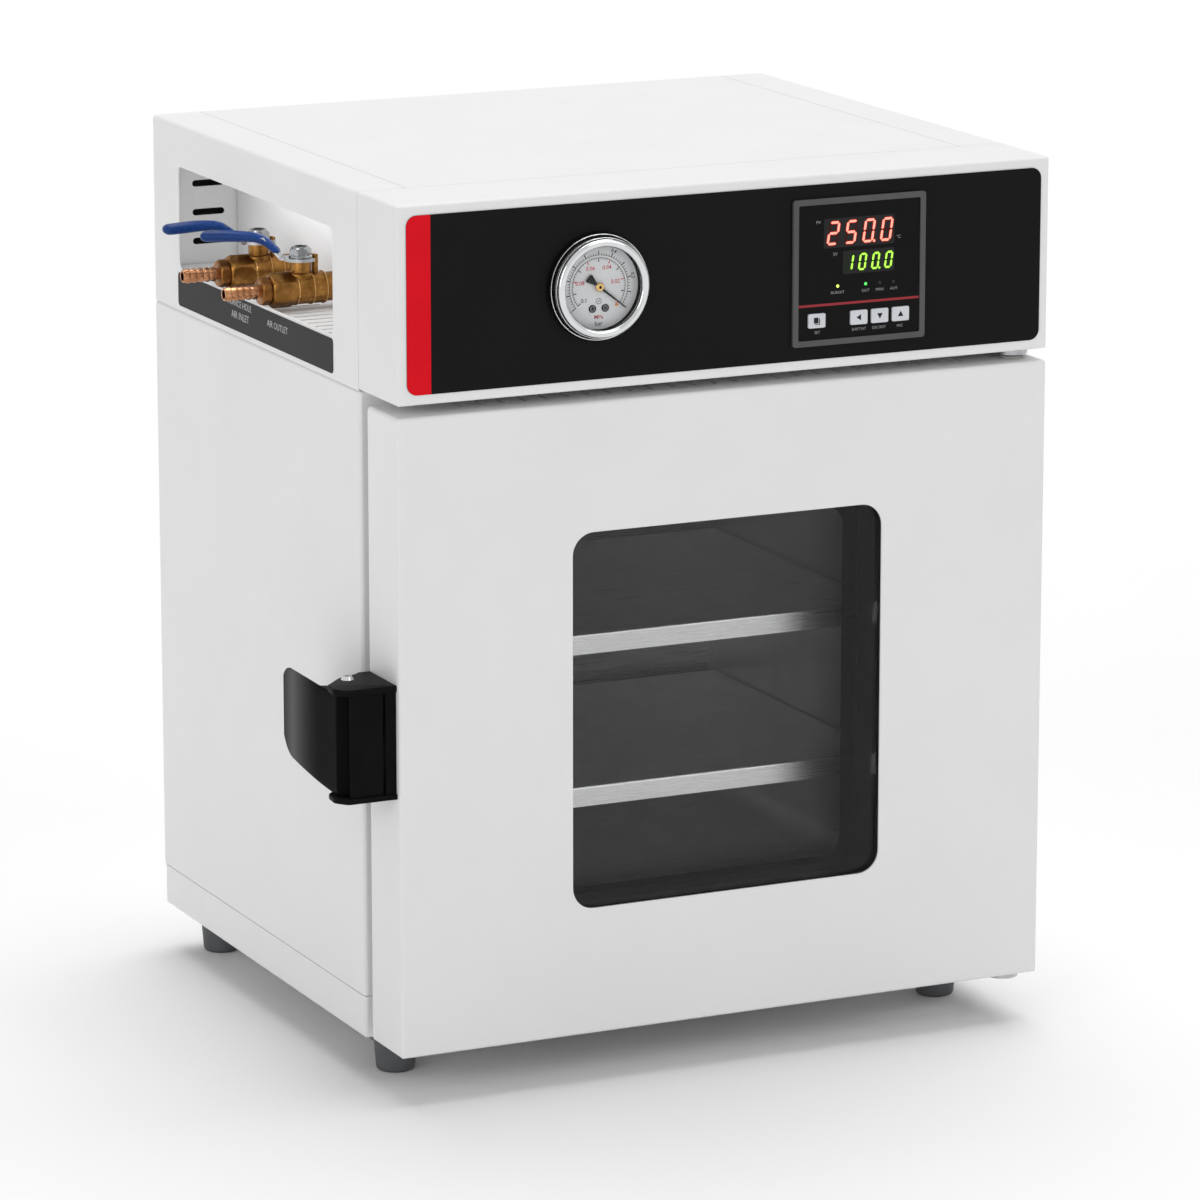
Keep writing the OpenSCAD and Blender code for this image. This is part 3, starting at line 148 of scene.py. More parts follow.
def band(x, z, r0, r1, a0, a1, steps=64):
    """The part of a ring from radius r0 to r1 and from angle a0 to a1, in degrees."""
    a = np.radians(np.linspace(a0, a1, steps))
    c, s = np.cos(a), np.sin(a)
    return np.vstack([np.column_stack([x + r1 * c, z + r1 * s]), np.column_stack([x + r0 * c, z + r0 * s])[::-1]])


def stroke(x, z, r0, r1, angle, width):
    """A short straight mark of the given width along the radius at an angle, in degrees."""
    a = math.radians(angle)
    along, across = np.array([math.cos(a), math.sin(a)]), np.array([-math.sin(a), math.cos(a)]) * width / 2
    c = np.array([x, z])
    near, far = c + along * r0, c + along * r1
    return np.array([near - across, far - across, far + across, near + across])


def words(text, x, z, size, y_front, turn=0.0, thick=LIFT, wide=1.0, heavy=0.0):
    """Lettering centred on (x, z) in a plane facing -Y, with capitals about 0.7 size high."""
    curve = bpy.data.curves.new("lettering", "FONT")
    curve.body = text
    curve.align_x = "CENTER"
    curve.align_y = "CENTER"
    curve.size = size
    curve.extrude = thick / 2
    curve.offset = heavy
    curve.resolution_u = 3
    obj = bpy.data.objects.new("lettering", curve)
    bpy.context.scene.collection.objects.link(obj)
    mesh = bpy.data.meshes.new_from_object(obj.evaluated_get(bpy.context.evaluated_depsgraph_get()))
    points = np.empty(len(mesh.vertices) * 3)
    mesh.vertices.foreach_get("co", points)
    points = points.reshape(-1, 3)
    faces = [list(p.vertices) for p in mesh.polygons]
    bpy.data.objects.remove(obj)
    bpy.data.meshes.remove(mesh)
    bpy.data.curves.remove(curve)
    a = math.radians(turn)
    u, v = points[:, 0] * wide, points[:, 1]
    u, v = u - (u.min() + u.max()) / 2, v - (v.min() + v.max()) / 2
    flat = np.column_stack([x + u * math.cos(a) - v * math.sin(a), y_front + thick / 2 - points[:, 2],
                            z + u * math.sin(a) + v * math.cos(a)])
    return flat, faces


def edge_softener(angle):
    """Merges loose triangles and shades faces that meet at less than the angle, in degrees, as one curve."""
    name = "soft_edges_%d" % angle
    if name in bpy.data.node_groups:
        return bpy.data.node_groups[name]
    group = bpy.data.node_groups.new(name, "GeometryNodeTree")
    group.interface.new_socket("Geometry", in_out="INPUT", socket_type="NodeSocketGeometry")
    group.interface.new_socket("Geometry", in_out="OUTPUT", socket_type="NodeSocketGeometry")
    new = group.nodes.new
    start, end = new("NodeGroupInput"), new("NodeGroupOutput")
    weld = new("GeometryNodeMergeByDistance")
    weld.inputs["Distance"].default_value = MERGE
    smooth = new("GeometryNodeSetShadeSmooth")
    sharp = new("GeometryNodeSetShadeSmooth")
    sharp.domain = "EDGE"
    sharp.inputs["Shade Smooth"].default_value = False
    between = new("GeometryNodeInputMeshEdgeAngle")
    steep = new("FunctionNodeCompare")
    steep.operation = "GREATER_THAN"
    steep.inputs[1].default_value = math.radians(angle)
    link = group.links.new
    link(start.outputs[0], weld.inputs["Geometry"])
    link(weld.outputs[0], smooth.inputs["Geometry"])
    link(smooth.outputs[0], sharp.inputs["Geometry"])
    link(between.outputs["Unsigned Angle"], steep.inputs[0])
    link(steep.outputs[0], sharp.inputs["Selection"])
    link(sharp.outputs[0], end.inputs[0])
    return group


# ---------------------------------------------------------------- finishes

class Finish:
    """A material whose patterns read Object coordinates; sizes of patterns are in metres."""

    def __init__(self, name, rough=0.5, metal=0.0, specular=0.5):
        self.material = bpy.data.materials.new(name)
        self.material.use_nodes = True
        self.tree = self.material.node_tree
        self.shader = self.tree.nodes["Principled BSDF"]
        self.set("Roughness", rough)
        self.set("Metallic", metal)
        self.set("Specular IOR Level", specular)

    def set(self, socket, value):
        """Sets the shader's socket of that name."""
        self.shader.inputs[socket].default_value = value

    def node(self, kind, **settings):
        """A new node with its settings."""
        node = self.tree.nodes.new(kind)
        for key, value in settings.items():
            setattr(node, key, value)
        return node

    def feed(self, value, socket):
        """Links an output to a socket, or sets the socket to a plain value."""
        if hasattr(value, "is_output"):
            self.tree.links.new(value, socket)
        else:
            socket.default_value = value

    def place(self, size, stretch=(1, 1, 1)):
        """Object coordinates in units of the pattern's size, stretched along X, Y and Z."""
        where = self.node("ShaderNodeTexCoord")
        mapping = self.node("ShaderNodeMapping")
        mapping.inputs["Scale"].default_value = [1 / (size * s) for s in stretch]
        self.feed(where.outputs["Object"], mapping.inputs["Vector"])
        return mapping.outputs["Vector"]

    def clouds(self, size, detail=2.0, stretch=(1, 1, 1), rough=0.5):
        """Soft noise whose patches are about the given size."""
        noise = self.node("ShaderNodeTexNoise")
        noise.inputs["Scale"].default_value = 1.0
        noise.inputs["Detail"].default_value = detail
        noise.inputs["Roughness"].default_value = rough
        self.feed(self.place(size, stretch), noise.inputs["Vector"])
        return noise.outputs["Fac"]

    def cells(self, size):
        """Crystals of about the given size, each of one random value."""
        cells = self.node("ShaderNodeTexVoronoi")
        cells.inputs["Scale"].default_value = 1.0
        self.feed(self.place(size), cells.inputs["Vector"])
        return cells.outputs["Color"]

    def spread(self, value, low, high, start=0.35, stop=0.65):
        """The value's range from start to stop carried over to low to high."""
        node = self.node("ShaderNodeMapRange")
        self.feed(value, node.inputs["Value"])
        for key, number in (("From Min", start), ("From Max", stop), ("To Min", low), ("To Max", high)):
            node.inputs[key].default_value = number
        return node.outputs["Result"]

    def math(self, operation, a, b=0.0):
        """One sum of two values or outputs."""
        node = self.node("ShaderNodeMath", operation=operation)
        self.feed(a, node.inputs[0])
        self.feed(b, node.inputs[1])
        return node.outputs[0]

    def mixed(self, a, b, share):
        """The sum of a's share and the rest of b."""
        return self.math("ADD", self.math("MULTIPLY", a, share), self.math("MULTIPLY", b, 1 - share))

    def blend(self, share, a, b):
        """Colour a where share is 0 and b where it is 1."""
        node = self.node("ShaderNodeMix", data_type="RGBA")
        self.feed(share, node.inputs[0])
        for socket, colour in ((node.inputs[6], a), (node.inputs[7], b)):
            self.feed(colour if hasattr(colour, "is_output") else (*colour, 1.0), socket)
        return node.outputs[2]

    def colour(self, value):
        """The base colour, as three numbers or an output."""
        self.feed(value if hasattr(value, "is_output") else (*value, 1.0), self.shader.inputs["Base Color"])

    def roughness(self, value):
        """A patterned roughness."""
        self.feed(value, self.shader.inputs["Roughness"])

    def relief(self, height, depth, strength=1.0):
        """Bumps of the given depth in metres."""
        node = self.node("ShaderNodeBump")
        node.inputs["Distance"].default_value = depth
        node.inputs["Strength"].default_value = strength
        self.feed(height, node.inputs["Height"])
        last = self.shader.inputs["Normal"]
        if last.is_linked:
            self.feed(last.links[0].from_socket, node.inputs["Normal"])
        self.feed(node.outputs["Normal"], last)

    def glow(self, colour, strength):
        """Light given off by a lamp or a lit display."""
        self.set("Emission Color", (*colour, 1.0))
        self.set("Emission Strength", strength)


def powder_coat(name, light, rough):
    """Baked powder paint: an even pale colour with the faint orange peel of the cured film."""
    f = Finish(name, rough=rough, specular=0.4)
    broad, fine = f.clouds(60 * MM), f.clouds(1.6 * MM, detail=3)
    f.colour(f.blend(f.spread(broad, 0, 1), [c * 0.985 for c in light], light))
    f.roughness(f.spread(fine, rough - 0.05, rough + 0.06))
    f.relief(fine, 0.02 * MM, 0.35)
    return f.material


SCRATCH_LONG, SCRATCH_WIDE = 40 * MM, 0.25 * MM


def brushed(name, dark, light, rough):
    """Rolled or brushed metal: fine scratches drawn out along X."""
    f = Finish(name, rough=rough, metal=1.0)
    scratches = f.clouds(SCRATCH_WIDE, detail=4, stretch=(SCRATCH_LONG / SCRATCH_WIDE, 1, 1), rough=0.6)
    cloud = f.clouds(35 * MM, detail=3)
    shade = f.mixed(scratches, cloud, 0.7)
    f.colour(f.blend(f.spread(shade, 0, 1), dark, light))
    f.roughness(f.spread(scratches, rough - 0.08, rough + 0.1))
    f.relief(scratches, 0.01 * MM, 0.3)
    return f.material


def zinc_plate(name, dark, light, rough):
    """Zinc-plated steel with a faint crystal pattern and dull and bright patches."""
    f = Finish(name, rough=rough, metal=1.0)
    grain, cloud = f.cells(4 * MM), f.clouds(8 * MM, detail=4)
    shade = f.mixed(grain, cloud, 0.4)
    f.colour(f.blend(f.spread(shade, 0, 1, 0.25, 0.7), dark, light))
    f.roughness(f.spread(cloud, rough - 0.08, rough + 0.1))
    f.relief(f.clouds(0.5 * MM, detail=2), 0.01 * MM, 0.2)
    return f.material


def bright_plate(name, tone, rough):
    """Polished chrome with a breath of haze and fine hairlines."""
    f = Finish(name, rough=rough, metal=1.0)
    haze = f.clouds(9 * MM, detail=3)
    f.colour(f.blend(f.spread(haze, 0, 1), [c * 0.94 for c in tone], tone))
    f.roughness(f.spread(haze, rough * 0.6, rough * 1.5))
    return f.material


def forged_brass(name, dark, light, rough, grain=0.7 * MM, depth=0.05 * MM):
    """Brass: tarnish in broad patches over a fine hammered or cast grain."""
    f = Finish(name, rough=rough, metal=1.0)
    tarnish, fine = f.clouds(7 * MM, detail=4), f.clouds(grain, detail=3)
    shade = f.mixed(tarnish, fine, 0.75)
    f.colour(f.blend(f.spread(shade, 0, 1, 0.32, 0.66), dark, light))
    f.roughness(f.spread(shade, rough + 0.12, rough - 0.06))
    f.relief(fine, depth, 0.5)
    return f.material


def moulded(name, dark, light, rough, grain=0.5 * MM, depth=0.03 * MM, specular=0.4):
    """Moulded plastic or rubber with a spark-eroded grain."""
    f = Finish(name, rough=rough, specular=specular)
    fine, broad = f.clouds(grain, detail=3), f.clouds(18 * MM)
    shade = f.mixed(fine, broad, 0.6)
    f.colour(f.blend(f.spread(shade, 0, 1), dark, light))
    f.roughness(f.spread(fine, rough - 0.05, rough + 0.08))
    f.relief(fine, depth, 0.5)
    return f.material


def satin_film(name, tone, rough=0.42, specular=0.25):
    """Printed polyester film with a fine sand texture."""
    f = Finish(name, rough=rough, specular=specular)
    sand, broad = f.clouds(0.3 * MM, detail=1), f.clouds(50 * MM)
    f.colour(f.blend(f.spread(broad, 0, 1), [c * 0.93 for c in tone], tone))
    f.roughness(f.spread(sand, rough - 0.04, rough + 0.05))
    f.relief(sand, 0.006 * MM, 0.3)
    return f.material


def printed(name, tone, strength=0.0):
    """Screen-printed ink, slightly uneven, or a lit mark where strength is more than 0."""
    f = Finish(name, rough=0.55, specular=0.2)
    f.colour(f.blend(f.spread(f.clouds(0.8 * MM, detail=2), 0, 1), [c * 0.88 for c in tone], tone))
    if strength:
        f.glow(tone, strength)
    return f.material


def pane(name, tint, shine):
    """Plate glass seen as a tinted sheet: its mirror is the shine's share of Fresnel, under a faint film of dust."""
    f = Finish(name)
    f.tree.nodes.remove(f.shader)
    clear = f.node("ShaderNodeBsdfTransparent")
    clear.inputs["Color"].default_value = (*tint, 1.0)
    mirror = f.node("ShaderNodeBsdfGlossy")
    f.feed(f.spread(f.clouds(30 * MM, detail=4), 0.02, 0.06), mirror.inputs["Roughness"])
    edge = f.node("ShaderNodeFresnel")
    edge.inputs["IOR"].default_value = 1.45
    mix = f.node("ShaderNodeMixShader")
    f.feed(f.math("MULTIPLY", edge.outputs[0], shine), mix.inputs[0])
    f.feed(clear.outputs[0], mix.inputs[1])
    f.feed(mirror.outputs[0], mix.inputs[2])
    f.feed(mix.outputs[0], f.tree.nodes["Material Output"].inputs["Surface"])
    return f.material


def wool_mat(name, dark, light):
    """Mineral wool: tangled strands of pale fibre."""
    f = Finish(name, rough=0.95, specular=0.1)
    strands = f.clouds(1.2 * MM, detail=6, stretch=(6, 1, 1), rough=0.7)
    f.colour(f.blend(f.spread(strands, 0, 1), dark, light))
    f.relief(strands, 1.0 * MM, 0.8)
    return f.material


def heater_film(name, dark, light):
    """Amber heater film with the meander of its foil showing through."""
    f = Finish(name, rough=0.35, specular=0.5)
    wave = f.node("ShaderNodeTexWave", wave_type="BANDS", bands_direction="Z")
    wave.inputs["Scale"].default_value = 1.0
    wave.inputs["Distortion"].default_value = 0.2
    f.feed(f.place(30 * MM), wave.inputs["Vector"])
    f.colour(f.blend(f.spread(wave.outputs["Fac"], 0, 1, 0.45, 0.55), dark, light))
    f.relief(wave.outputs["Fac"], 0.1 * MM, 0.4)
    return f.material


FINISHES = {
    "white_paint": powder_coat("white_powder_coat", (0.80, 0.80, 0.80), 0.42),
    "zinc_steel": zinc_plate("zinc_plated_steel", (0.34, 0.35, 0.37), (0.56, 0.57, 0.58), 0.34),
    "stainless": brushed("stainless_steel", (0.36, 0.36, 0.36), (0.47, 0.47, 0.465), 0.30),
    "aluminium": brushed("aluminium_sheet", (0.58, 0.58, 0.58), (0.78, 0.78, 0.78), 0.40),
    "chrome": bright_plate("polished_chrome", (0.72, 0.73, 0.74), 0.08),
    "brass": forged_brass("forged_brass", (0.17, 0.072, 0.015), (0.42, 0.205, 0.055), 0.30),
    "copper_brass": forged_brass("drawn_red_brass", (0.30, 0.115, 0.045), (0.70, 0.35, 0.18), 0.20,
                                 0.4 * MM, 0.02 * MM),
    "label_film": satin_film("dark_grey_label", (0.043, 0.043, 0.044), 0.5, 0.06),
    "fascia_film": satin_film("black_fascia_film", (0.0060, 0.0060, 0.0060), 0.42, 0.08),
    "silicone": moulded("door_silicone", (0.50, 0.50, 0.48), (0.60, 0.60, 0.58), 0.55, 1.0 * MM),
    "rubber_grey": moulded("grey_rubber", (0.085, 0.088, 0.092), (0.13, 0.134, 0.14), 0.6, 0.8 * MM, 0.06 * MM, 0.3),
    "heater": heater_film("heater_film", (0.35, 0.12, 0.02), (0.62, 0.26, 0.05)),
    "wool": wool_mat("mineral_wool", (0.42, 0.38, 0.30), (0.66, 0.62, 0.52)),
    "grey_plastic": moulded("grey_abs", (0.078, 0.078, 0.080), (0.100, 0.100, 0.102), 0.5, 0.4 * MM, 0.02 * MM, 0.2),
    "black_gloss": satin_film("controller_film", (0.0050, 0.0050, 0.0054), 0.3, 0.08),
    "black_plastic": moulded("black_grained_plastic", (0.0025, 0.0025, 0.0025), (0.0050, 0.0050, 0.0050), 0.45,
                             0.45 * MM, 0.02 * MM, 0.05),
    "dial": satin_film("dial_enamel", (0.84, 0.84, 0.86), 0.5),
    "clear_glass": pane("clear_glass", (0.99, 0.993, 0.991), 0.32),
    "tinted_glass": pane("tinted_glass", (0.965, 0.965, 0.965), 0.34),
    "nylon": moulded("natural_nylon", (0.55, 0.54, 0.50), (0.66, 0.65, 0.61), 0.45),
    "blue_vinyl": moulded("blue_dipped_vinyl", (0.003, 0.027, 0.135), (0.006, 0.043, 0.190), 0.32,
                          2.0 * MM, 0.04 * MM, 0.20),
    "button_grey": moulded("light_grey_buttons", (0.58, 0.60, 0.63), (0.66, 0.68, 0.71), 0.45, 0.3 * MM, 0.01 * MM),
}
INK_BLACK = printed("black_ink", (0.012, 0.012, 0.012))
INK_RED = printed("red_ink", (0.62, 0.04, 0.08))
INK_PALE = printed("pale_grey_ink", (0.30, 0.30, 0.31))
INK_ORANGE = printed("orange_ink", (0.85, 0.30, 0.08))
STRIPE_RED = satin_film("red_fascia_film", (0.72, 0.0045, 0.014), 0.40, 0.08)

# Near-black for painted shade: dark pieces laid in grooves, slots, bores and hollows where there is only shade.
SHADOW_BLACK = satin_film("painted_shade_black", (0.004, 0.004, 0.004), 0.6, 0.05)

# pieces whose finish differs from the rest of their slot
OWN_FINISH = {
    "window_tunnel": moulded("black_tunnel_enamel", (0.0040, 0.0040, 0.0042), (0.0065, 0.0065, 0.0068), 0.10,
                             2.0 * MM, 0.002 * MM, 0.5),
    "shelf_upper": brushed("bright_shelf_sheet", (0.60, 0.60, 0.60), (0.66, 0.66, 0.66), 0.30),
}
OWN_FINISH["shelf_lower"] = OWN_FINISH["shelf_upper"]
# Painted shade: the gauge case takes the painted-shade black so that only the bezel's rim shows bright.
OWN_FINISH["gauge_case"] = SHADOW_BLACK

SLOT_OF = {part["node"]: part["material_slot"] for part in frame["record"]["subparts"]}
CURVED = 32  # degrees: faces that meet at less are one curve
for node, obj in frame["nodes"].items():
    obj.data.materials.clear()
    obj.data.materials.append(OWN_FINISH.get(node) or FINISHES[SLOT_OF[node]])
    obj.modifiers.new("soft edges", "NODES").node_group = edge_softener(CURVED)


# ---------------------------------------------------------------- where things are

def corners(node):
    """The low and high corner of a node's box."""
    lo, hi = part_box(node)
    return np.array(lo), np.array(hi)


LEFT = corners("outer_case")[0][0]
BACK = corners("rear_panel")[1][1]
DEPTH = 417.0  # from the door's face to the back, in millimetres


def spot(x, y, z):
    """A place in metres from millimetres right of the case's left side, behind the door's face, and above the floor."""
    return np.array([LEFT + x * MM, BACK + (y - DEPTH) * MM, z * MM])


fascia_lo, fascia_hi = corners("fascia")
bezel_lo, bezel_hi = corners("gauge_bezel")
face_lo, face_hi = corners("controller_face")

gauge_x, gauge_z = (bezel_lo[0] + bezel_hi[0]) / 2, (bezel_lo[2] + bezel_hi[2]) / 2
gauge_r = (bezel_hi[0] - bezel_lo[0]) / 2
screw_top = corners("gauge_dial")[0][1]
dial_y = screw_top + 0.5 * MM  # the dial's face, behind its screw heads
panel_x, panel_z = (face_lo[0] + face_hi[0]) / 2, (face_lo[2] + face_hi[2]) / 2
panel_y = face_lo[1]


# ---------------------------------------------------------------- fascia

STRIPE_W = 16.5 * MM
film = rounded(fascia_lo[0], fascia_lo[2], fascia_hi[0], fascia_hi[2], 7 * MM, 8)
rounded_end = film[film[:, 0] <= fascia_lo[0] + STRIPE_W]
straight_end = [[fascia_lo[0] + STRIPE_W, z] for z in (fascia_lo[2], fascia_hi[2])]
stripe = np.vstack([rounded_end, straight_end])
piece("fascia_stripe", *plate(stripe, fascia_lo[1] - LIFT), STRIPE_RED, "cabinet", "fascia_film")


# ---------------------------------------------------------------- gauge

def arc(r, d, radius, start, stop, steps=9):
    """Points on a quarter or half round of a turned section: (r + radius cos a, d + radius sin a)."""
    a = np.radians(np.linspace(start, stop, steps))
    return np.column_stack([r + radius * np.cos(a), d + radius * np.sin(a)])


def bezel_profile(r, depth, glass):
    """The pressed ring's section as (radius, depth from its front): a rolled back rim, a groove whose black bottom is a
    separate ring of painted shade, a small bead, a second groove and the broad domed ring that holds the glass. The
    dome is a part of an ellipse.
    """
    a = np.radians(np.linspace(8, 176, 21))
    dome = np.column_stack([r - 5.0 * MM + 2.35 * MM * np.cos(a), 1.5 * MM - 1.5 * MM * np.sin(a)])
    return np.vstack([
        [[r - 0.9 * MM, depth]],
        arc(r - 0.42 * MM, depth - 1.5 * MM, 0.42 * MM, 70, -170),
        [[r - 0.9 * MM, depth - 0.5 * MM], [r - 2.2 * MM, depth - 0.5 * MM]],
        arc(r - 2.05 * MM, 2.9 * MM, 0.28 * MM, 0, -180, 7),
        [[r - 2.4 * MM, 3.4 * MM], [r - 2.75 * MM, 3.4 * MM]], dome,
        [[r - 7.4 * MM, 1.9 * MM], [r - 7.4 * MM, glass], [r - 6.9 * MM, glass], [r - 6.9 * MM, depth]],
    ])


SWEEP, REST = 256.0, -38.0  # the scale's sweep and the angle of its zero, in degrees


RING_IN, RING_OUT = 18.6, 20.4  # radii of the dial's double arc, in millimetres
LINE = 0.15  # half an arc's width
NUMBERS = (("0.2", "0.02"), ("0.4", "0.04"), ("0.6", "0.06"), ("0.8", "0.08"), ("1", "0.1"))  # bar, MPa


def scale_marks(y):
    """The dial's print: a double arc with marks outside for bar and inside for MPa, as angles from the zero."""
    black, red = [], []
    for r in (RING_IN, RING_OUT):
        ring_line = band(gauge_x, gauge_z, (r - LINE) * MM, (r + LINE) * MM, REST, REST + SWEEP, 160)
        black.append(plate(ring_line, y))
    for k in range(51):
        angle = REST + SWEEP * k / 50
        outer, inner, width = (23.2, 16.0, 0.62) if k % 5 == 0 else (21.8, 17.6, 0.3)
        black.append(plate(stroke(gauge_x, gauge_z, RING_OUT * MM, outer * MM, angle, width * MM), y))
        (red if k % 10 == 0 and 0 < k < 50 else black).append(
            plate(stroke(gauge_x, gauge_z, inner * MM, RING_IN * MM, angle, width * MM), y))
    for k, (outer_text, inner_text) in enumerate(NUMBERS, 1):
        angle = REST + SWEEP * k / 5
        c, s = math.cos(math.radians(angle)), math.sin(math.radians(angle))
        r_out, r_in = 24.6 * MM, (12.0 if k == 1 else 13.4) * MM
        black.append(words(outer_text, gauge_x + r_out * c, gauge_z + r_out * s, 3.2 * MM, y, angle - 90,
                           heavy=0.03 * MM))
        (red if k < 5 else black).append(words(inner_text, gauge_x + r_in * c, gauge_z + r_in * s, 3.7 * MM, y,
                                               heavy=0.03 * MM))
    return black, red


print_y = dial_y - LIFT
black_marks, red_marks = scale_marks(print_y)
black_marks.append(words("bar", gauge_x, gauge_z - 23.6 * MM, 4.2 * MM, print_y, heavy=0.02 * MM))
black_marks.append(plate(band(gauge_x, gauge_z - 9.2 * MM, 1.7 * MM, 2.0 * MM, 0, 360, 48), print_y))
black_marks.append(plate(stroke(gauge_x, gauge_z - 9.2 * MM, -1.0 * MM, 1.0 * MM, 55, 0.4 * MM), print_y))
red_marks.append(words("MPa", gauge_x, gauge_z - 19.4 * MM, 3.7 * MM, print_y, heavy=0.03 * MM))
star = [plate(stroke(gauge_x + 12.6 * MM, gauge_z - 12.2 * MM, -1.5 * MM, 1.5 * MM, turn, 0.6 * MM),
              print_y - 0.01 * MM * k) for k, turn in enumerate((0, 60, 120))]
piece("dial_black_print", *joined(black_marks), INK_BLACK, "cabinet", "dial")
piece("dial_red_print", *joined(red_marks), INK_RED, "cabinet", "dial")
piece("dial_zero_mark", *joined(star), INK_ORANGE, "cabinet", "dial")
HEAD_R = 1.85 * MM
screw_heads, screw_shade_marks = [], []
screw_y = screw_top - LIFT
for side, lean in ((-1, 20), (1, 65)):
    x, z = gauge_x + side * 4.5 * MM, gauge_z - 13.9 * MM
    screw_heads.append(plate(disc(x, z, HEAD_R), screw_y, dial_y - screw_y))
    # Painted shade: a black ring round each screw head and a black cross over it.
    screw_shade_marks.append(plate(band(x, z, HEAD_R + 0.01 * MM, 2.5 * MM, 0, 360, 32), screw_y, dial_y - screw_y))
    screw_shade_marks += [plate(stroke(x, z, -1.4 * MM, 1.4 * MM, lean + quarter, 0.6 * MM), screw_y - LIFT * (1 + k / 6))
                    for k, quarter in enumerate((0, 90))]
DULL_SCREW = moulded("dull_screw_grey", (0.16, 0.16, 0.17), (0.26, 0.26, 0.27), 0.5, 1.0 * MM)
piece("dial_screws", *joined(screw_heads), DULL_SCREW, "cabinet", "zinc_steel", 30)
piece("dial_screw_painted_shade", *joined(screw_shade_marks), SHADOW_BLACK, "cabinet", "black_plastic")

ring = piece("gauge_bezel_rings", *turned(bezel_profile(gauge_r, bezel_hi[1] - bezel_lo[1], 2.8 * MM),
             (gauge_x, bezel_lo[1], gauge_z), 160), FINISHES["chrome"], "cabinet", "chrome", 30)
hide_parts("gauge_bezel")
rim = gauge_r / MM
# Painted shade and painted reflection: black rings in the bezel's grooves and under its dome stand for shade and the
# dark fascia mirrored in the chrome.
groove_shade_rings = [np.array(section) * MM for section in (
    [(27.0, 2.75), (26.72, 2.35), (26.72, 1.75), (26.98, 1.75), (26.98, 2.75)],
    [(27.25, 4.9), (27.25, 8.65), (27.6, 8.65), (27.6, 4.9)],
    [(rim - 0.95, 6.6), (rim - 2.1, 4.6), (rim - 2.1, 8.3), (rim - 0.95, 8.3)],
    [(rim - 2.42, 2.5), (rim - 2.62, 2.5), (rim - 2.62, 3.3), (rim - 2.42, 3.3)])]
piece("gauge_groove_painted_shade", *joined([turned(p, (gauge_x, bezel_lo[1], gauge_z), 128) for p in groove_shade_rings]),
      SHADOW_BLACK, "cabinet", "black_plastic", 30)


def hub_profile(r, tall):
    """A turned boss: a cone foot, a rounded shoulder and a dimpled top."""
    return [(0, tall), (r, tall), (r, 0.5 * MM), (r * 0.86, 0.1 * MM), (r * 0.6, 0), (r * 0.36, 0.02 * MM),
            (r * 0.3, 0.5 * MM), (0, 0.6 * MM)]


def needle_shape():
    """The needle in X and Z: a pointer that narrows to its tip, and a tail that widens to a slanted end."""
    along = math.radians(REST)
    u, v = np.array([math.cos(along), math.sin(along)]), np.array([-math.sin(along), math.cos(along)])
    tail = [(-3.0, 0.8), (-9.0, 3.1), (-10.2, 2.7), (-10.6, -2.0), (-9.6, -2.7), (-3.0, -0.8)]
    outline = [*tail, (2.0, -0.8), (23.4, -0.3), (23.9, 0), (23.4, 0.3), (2.0, 0.8)]
    return np.array([(gauge_x, gauge_z) + (a * u + b * v) * MM for a, b in outline])


needle_front = corners("gauge_needle")[0][1]
blade = piece("needle_blade", *plate(needle_shape(), needle_front + 0.3 * MM, 0.5 * MM), INK_BLACK,
              "needle", "black_plastic")
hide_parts("gauge_needle")
HUB_BRASS = forged_brass("spun_hub_brass", (0.55, 0.33, 0.10), (0.86, 0.58, 0.22), 0.22, 0.4 * MM, 0.01 * MM)
piece("needle_hub_cap", *turned(hub_profile(2.8 * MM, 1.2 * MM), (gauge_x, needle_front - 0.6 * MM, gauge_z), 48),
      HUB_BRASS, "needle", "brass", 30)


# ---------------------------------------------------------------- controller

SEGMENTS = {"0": "abcdef", "1": "bc", "2": "abged", "5": "afgcd"}


def segment(kind, w, h, t, gap, lean, grow=0.0):
    """One bar of a seven-bar digit of width w and height h as (x, z), leaned over by lean times z.

    Bars are hexagons drawn out along X or Z, with points cut at 45 degrees.
    """
    half, tip = t / 2 + grow, t / 2
    across = {"a": h - tip, "g": h / 2, "d": tip}
    if kind in across:
        z, x0, x1 = across[kind], tip + gap - grow, w - tip - gap + grow
        flat = [(x0, z), (x0 + half, z - half), (x1 - half, z - half),
                (x1, z), (x1 - half, z + half), (x0 + half, z + half)]
    else:
        x = tip if kind in "fe" else w - tip
        z0, z1 = (h / 2 + gap, h - tip - gap) if kind in "fb" else (tip + gap, h / 2 - gap)
        z0, z1 = z0 - grow, z1 + grow
        flat = [(x, z0), (x + half, z0 + half), (x + half, z1 - half),
                (x, z1), (x - half, z1 - half), (x - half, z0 + half)]
    flat = np.array(flat)
    flat[:, 0] += flat[:, 1] * lean
    return flat


